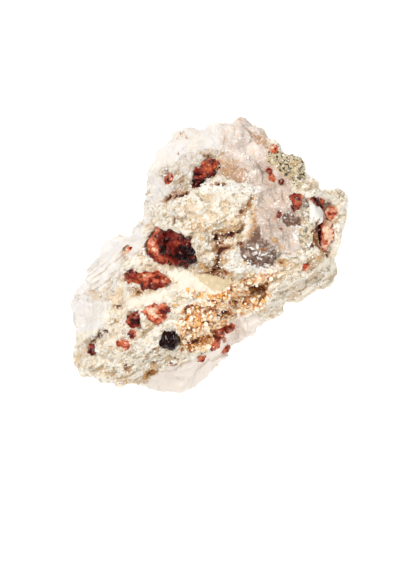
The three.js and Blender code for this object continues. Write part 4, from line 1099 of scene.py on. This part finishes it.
class SPECIMEN_OT_stage(bpy.types.Operator):
    """Sets up the pale floor, the soft lights and the camera straight above"""
    bl_idname = "specimen.stage"
    bl_label = "Set up the stage"

    def execute(self, context):
        sizes = context.scene.specimen_stage
        bpy.ops.object.select_all(action="DESELECT")
        bpy.ops.mesh.primitive_plane_add(size=FLOOR_SIZE, location=(0, 0, 0))
        floor = context.object
        floor.name = "floor"
        material, tree, _ = new_material("Matt white board")
        # lit from below a little, as a light table is, so that it stays paper-white round the stone
        shader = add(tree, "ShaderNodeBsdfPrincipled", {
            "Base Color": sizes.floor_colour, "Roughness": 0.9, "Emission Color": (1, 1, 1, 1),
            "Emission Strength": 0.42})
        add(tree, "ShaderNodeOutputMaterial", {"Surface": shader})
        floor.data.materials.append(material)

        world = bpy.data.worlds.new("Light tent")
        world.use_nodes = True
        sky = world.node_tree
        sky.nodes.clear()
        direction = add(sky, "ShaderNodeTexCoord", {}, output="Generated")
        height = add(sky, "ShaderNodeSeparateXYZ", {"Vector": direction}, output="Z")
        # the tent is open at its top, which keeps the level faces of the garnets dark
        strength = add(sky, "ShaderNodeMapRange", {
            "Value": height, "From Min": 0.9, "From Max": 0.96, "To Min": sizes.sky_strength, "To Max": 0.05})
        light = add(sky, "ShaderNodeBackground", {"Color": (1, 1, 1, 1), "Strength": strength})
        add(sky, "ShaderNodeOutputWorld", {"Surface": light})
        context.scene.world = world
        context.scene.view_settings.view_transform = "Standard"

        lamps = [
            ("key", (-0.13, 0.11, 0.27), 0.08, sizes.key_power),
            ("fill", (0.08, -0.2, 0.2), 0.12, 0.62 * sizes.key_power),
            ("rim", (0.18, 0.12, 0.22), 0.12, 0.26 * sizes.key_power),
        ]
        for name, place, size, power in lamps:
            bpy.ops.object.light_add(type="AREA", location=place)
            lamp = context.object
            lamp.name = name
            lamp.data.size = size
            lamp.data.energy = power
            lamp.rotation_euler = (Vector(LAMPS_AIM) - Vector(place)).to_track_quat("-Z", "Y").to_euler()

        camera = bpy.data.objects.new("camera", bpy.data.cameras.new("camera"))
        context.scene.collection.objects.link(camera)
        camera.location = (CAMERA_PLACE[0] * MM, CAMERA_PLACE[1] * MM, CAMERA_HEIGHT * MM)
        camera.data.lens = SENSOR * PIXELS_PER_MM * (CAMERA_HEIGHT - MEASURED_LEVEL) / PICTURE_LONG_SIDE
        camera.data.sensor_width = SENSOR
        camera.data.clip_start = 0.01
        camera.data.clip_end = 10.0
        context.scene.camera = camera
        return {"FINISHED"}


class SPECIMEN_PT_panel(bpy.types.Panel):
    """Sizes, colours and steps of the specimen"""
    bl_idname = "SPECIMEN_PT_panel"
    bl_label = "Garnet on matrix"
    bl_space_type = "VIEW_3D"
    bl_region_type = "UI"
    bl_category = "Specimen"

    def draw(self, context):
        for group, operators in PANEL_ROWS:
            box = self.layout.box()
            settings = getattr(context.scene, group)
            for name in settings.bl_rna.properties.keys():
                if name not in ("name", "rna_type"):
                    box.prop(settings, name)
            for operator in operators:
                box.operator(operator)


PANEL_ROWS = [
    ("specimen_rock", ["specimen.rock"]),
    ("specimen_garnets", ["specimen.garnets"]),
    ("specimen_crumbs", ["specimen.crumbs", "specimen.flecks", "specimen.side_garnets"]),
    ("specimen_stage", ["specimen.stage"]),
]
SETTINGS = {
    "specimen_rock": RockSettings,
    "specimen_garnets": GarnetSettings,
    "specimen_crumbs": CrumbSettings,
    "specimen_stage": StageSettings,
}
CLASSES = [*SETTINGS.values(), SPECIMEN_OT_rock, SPECIMEN_OT_garnets, SPECIMEN_OT_crumbs, SPECIMEN_OT_flecks,
           SPECIMEN_OT_side_garnets, SPECIMEN_OT_stage, SPECIMEN_PT_panel]


def register():
    for kind in CLASSES:
        bpy.utils.register_class(kind)
    for name, kind in SETTINGS.items():
        setattr(bpy.types.Scene, name, bpy.props.PointerProperty(type=kind))


def unregister():
    for name in SETTINGS:
        delattr(bpy.types.Scene, name)
    for kind in reversed(CLASSES):
        bpy.utils.unregister_class(kind)


def main():
    register()
    bpy.ops.specimen.rock()
    bpy.ops.specimen.garnets()
    bpy.ops.specimen.crumbs()
    bpy.ops.specimen.flecks()
    bpy.ops.specimen.side_garnets()
    bpy.ops.specimen.stage()


if __name__ == "__main__":
    main()
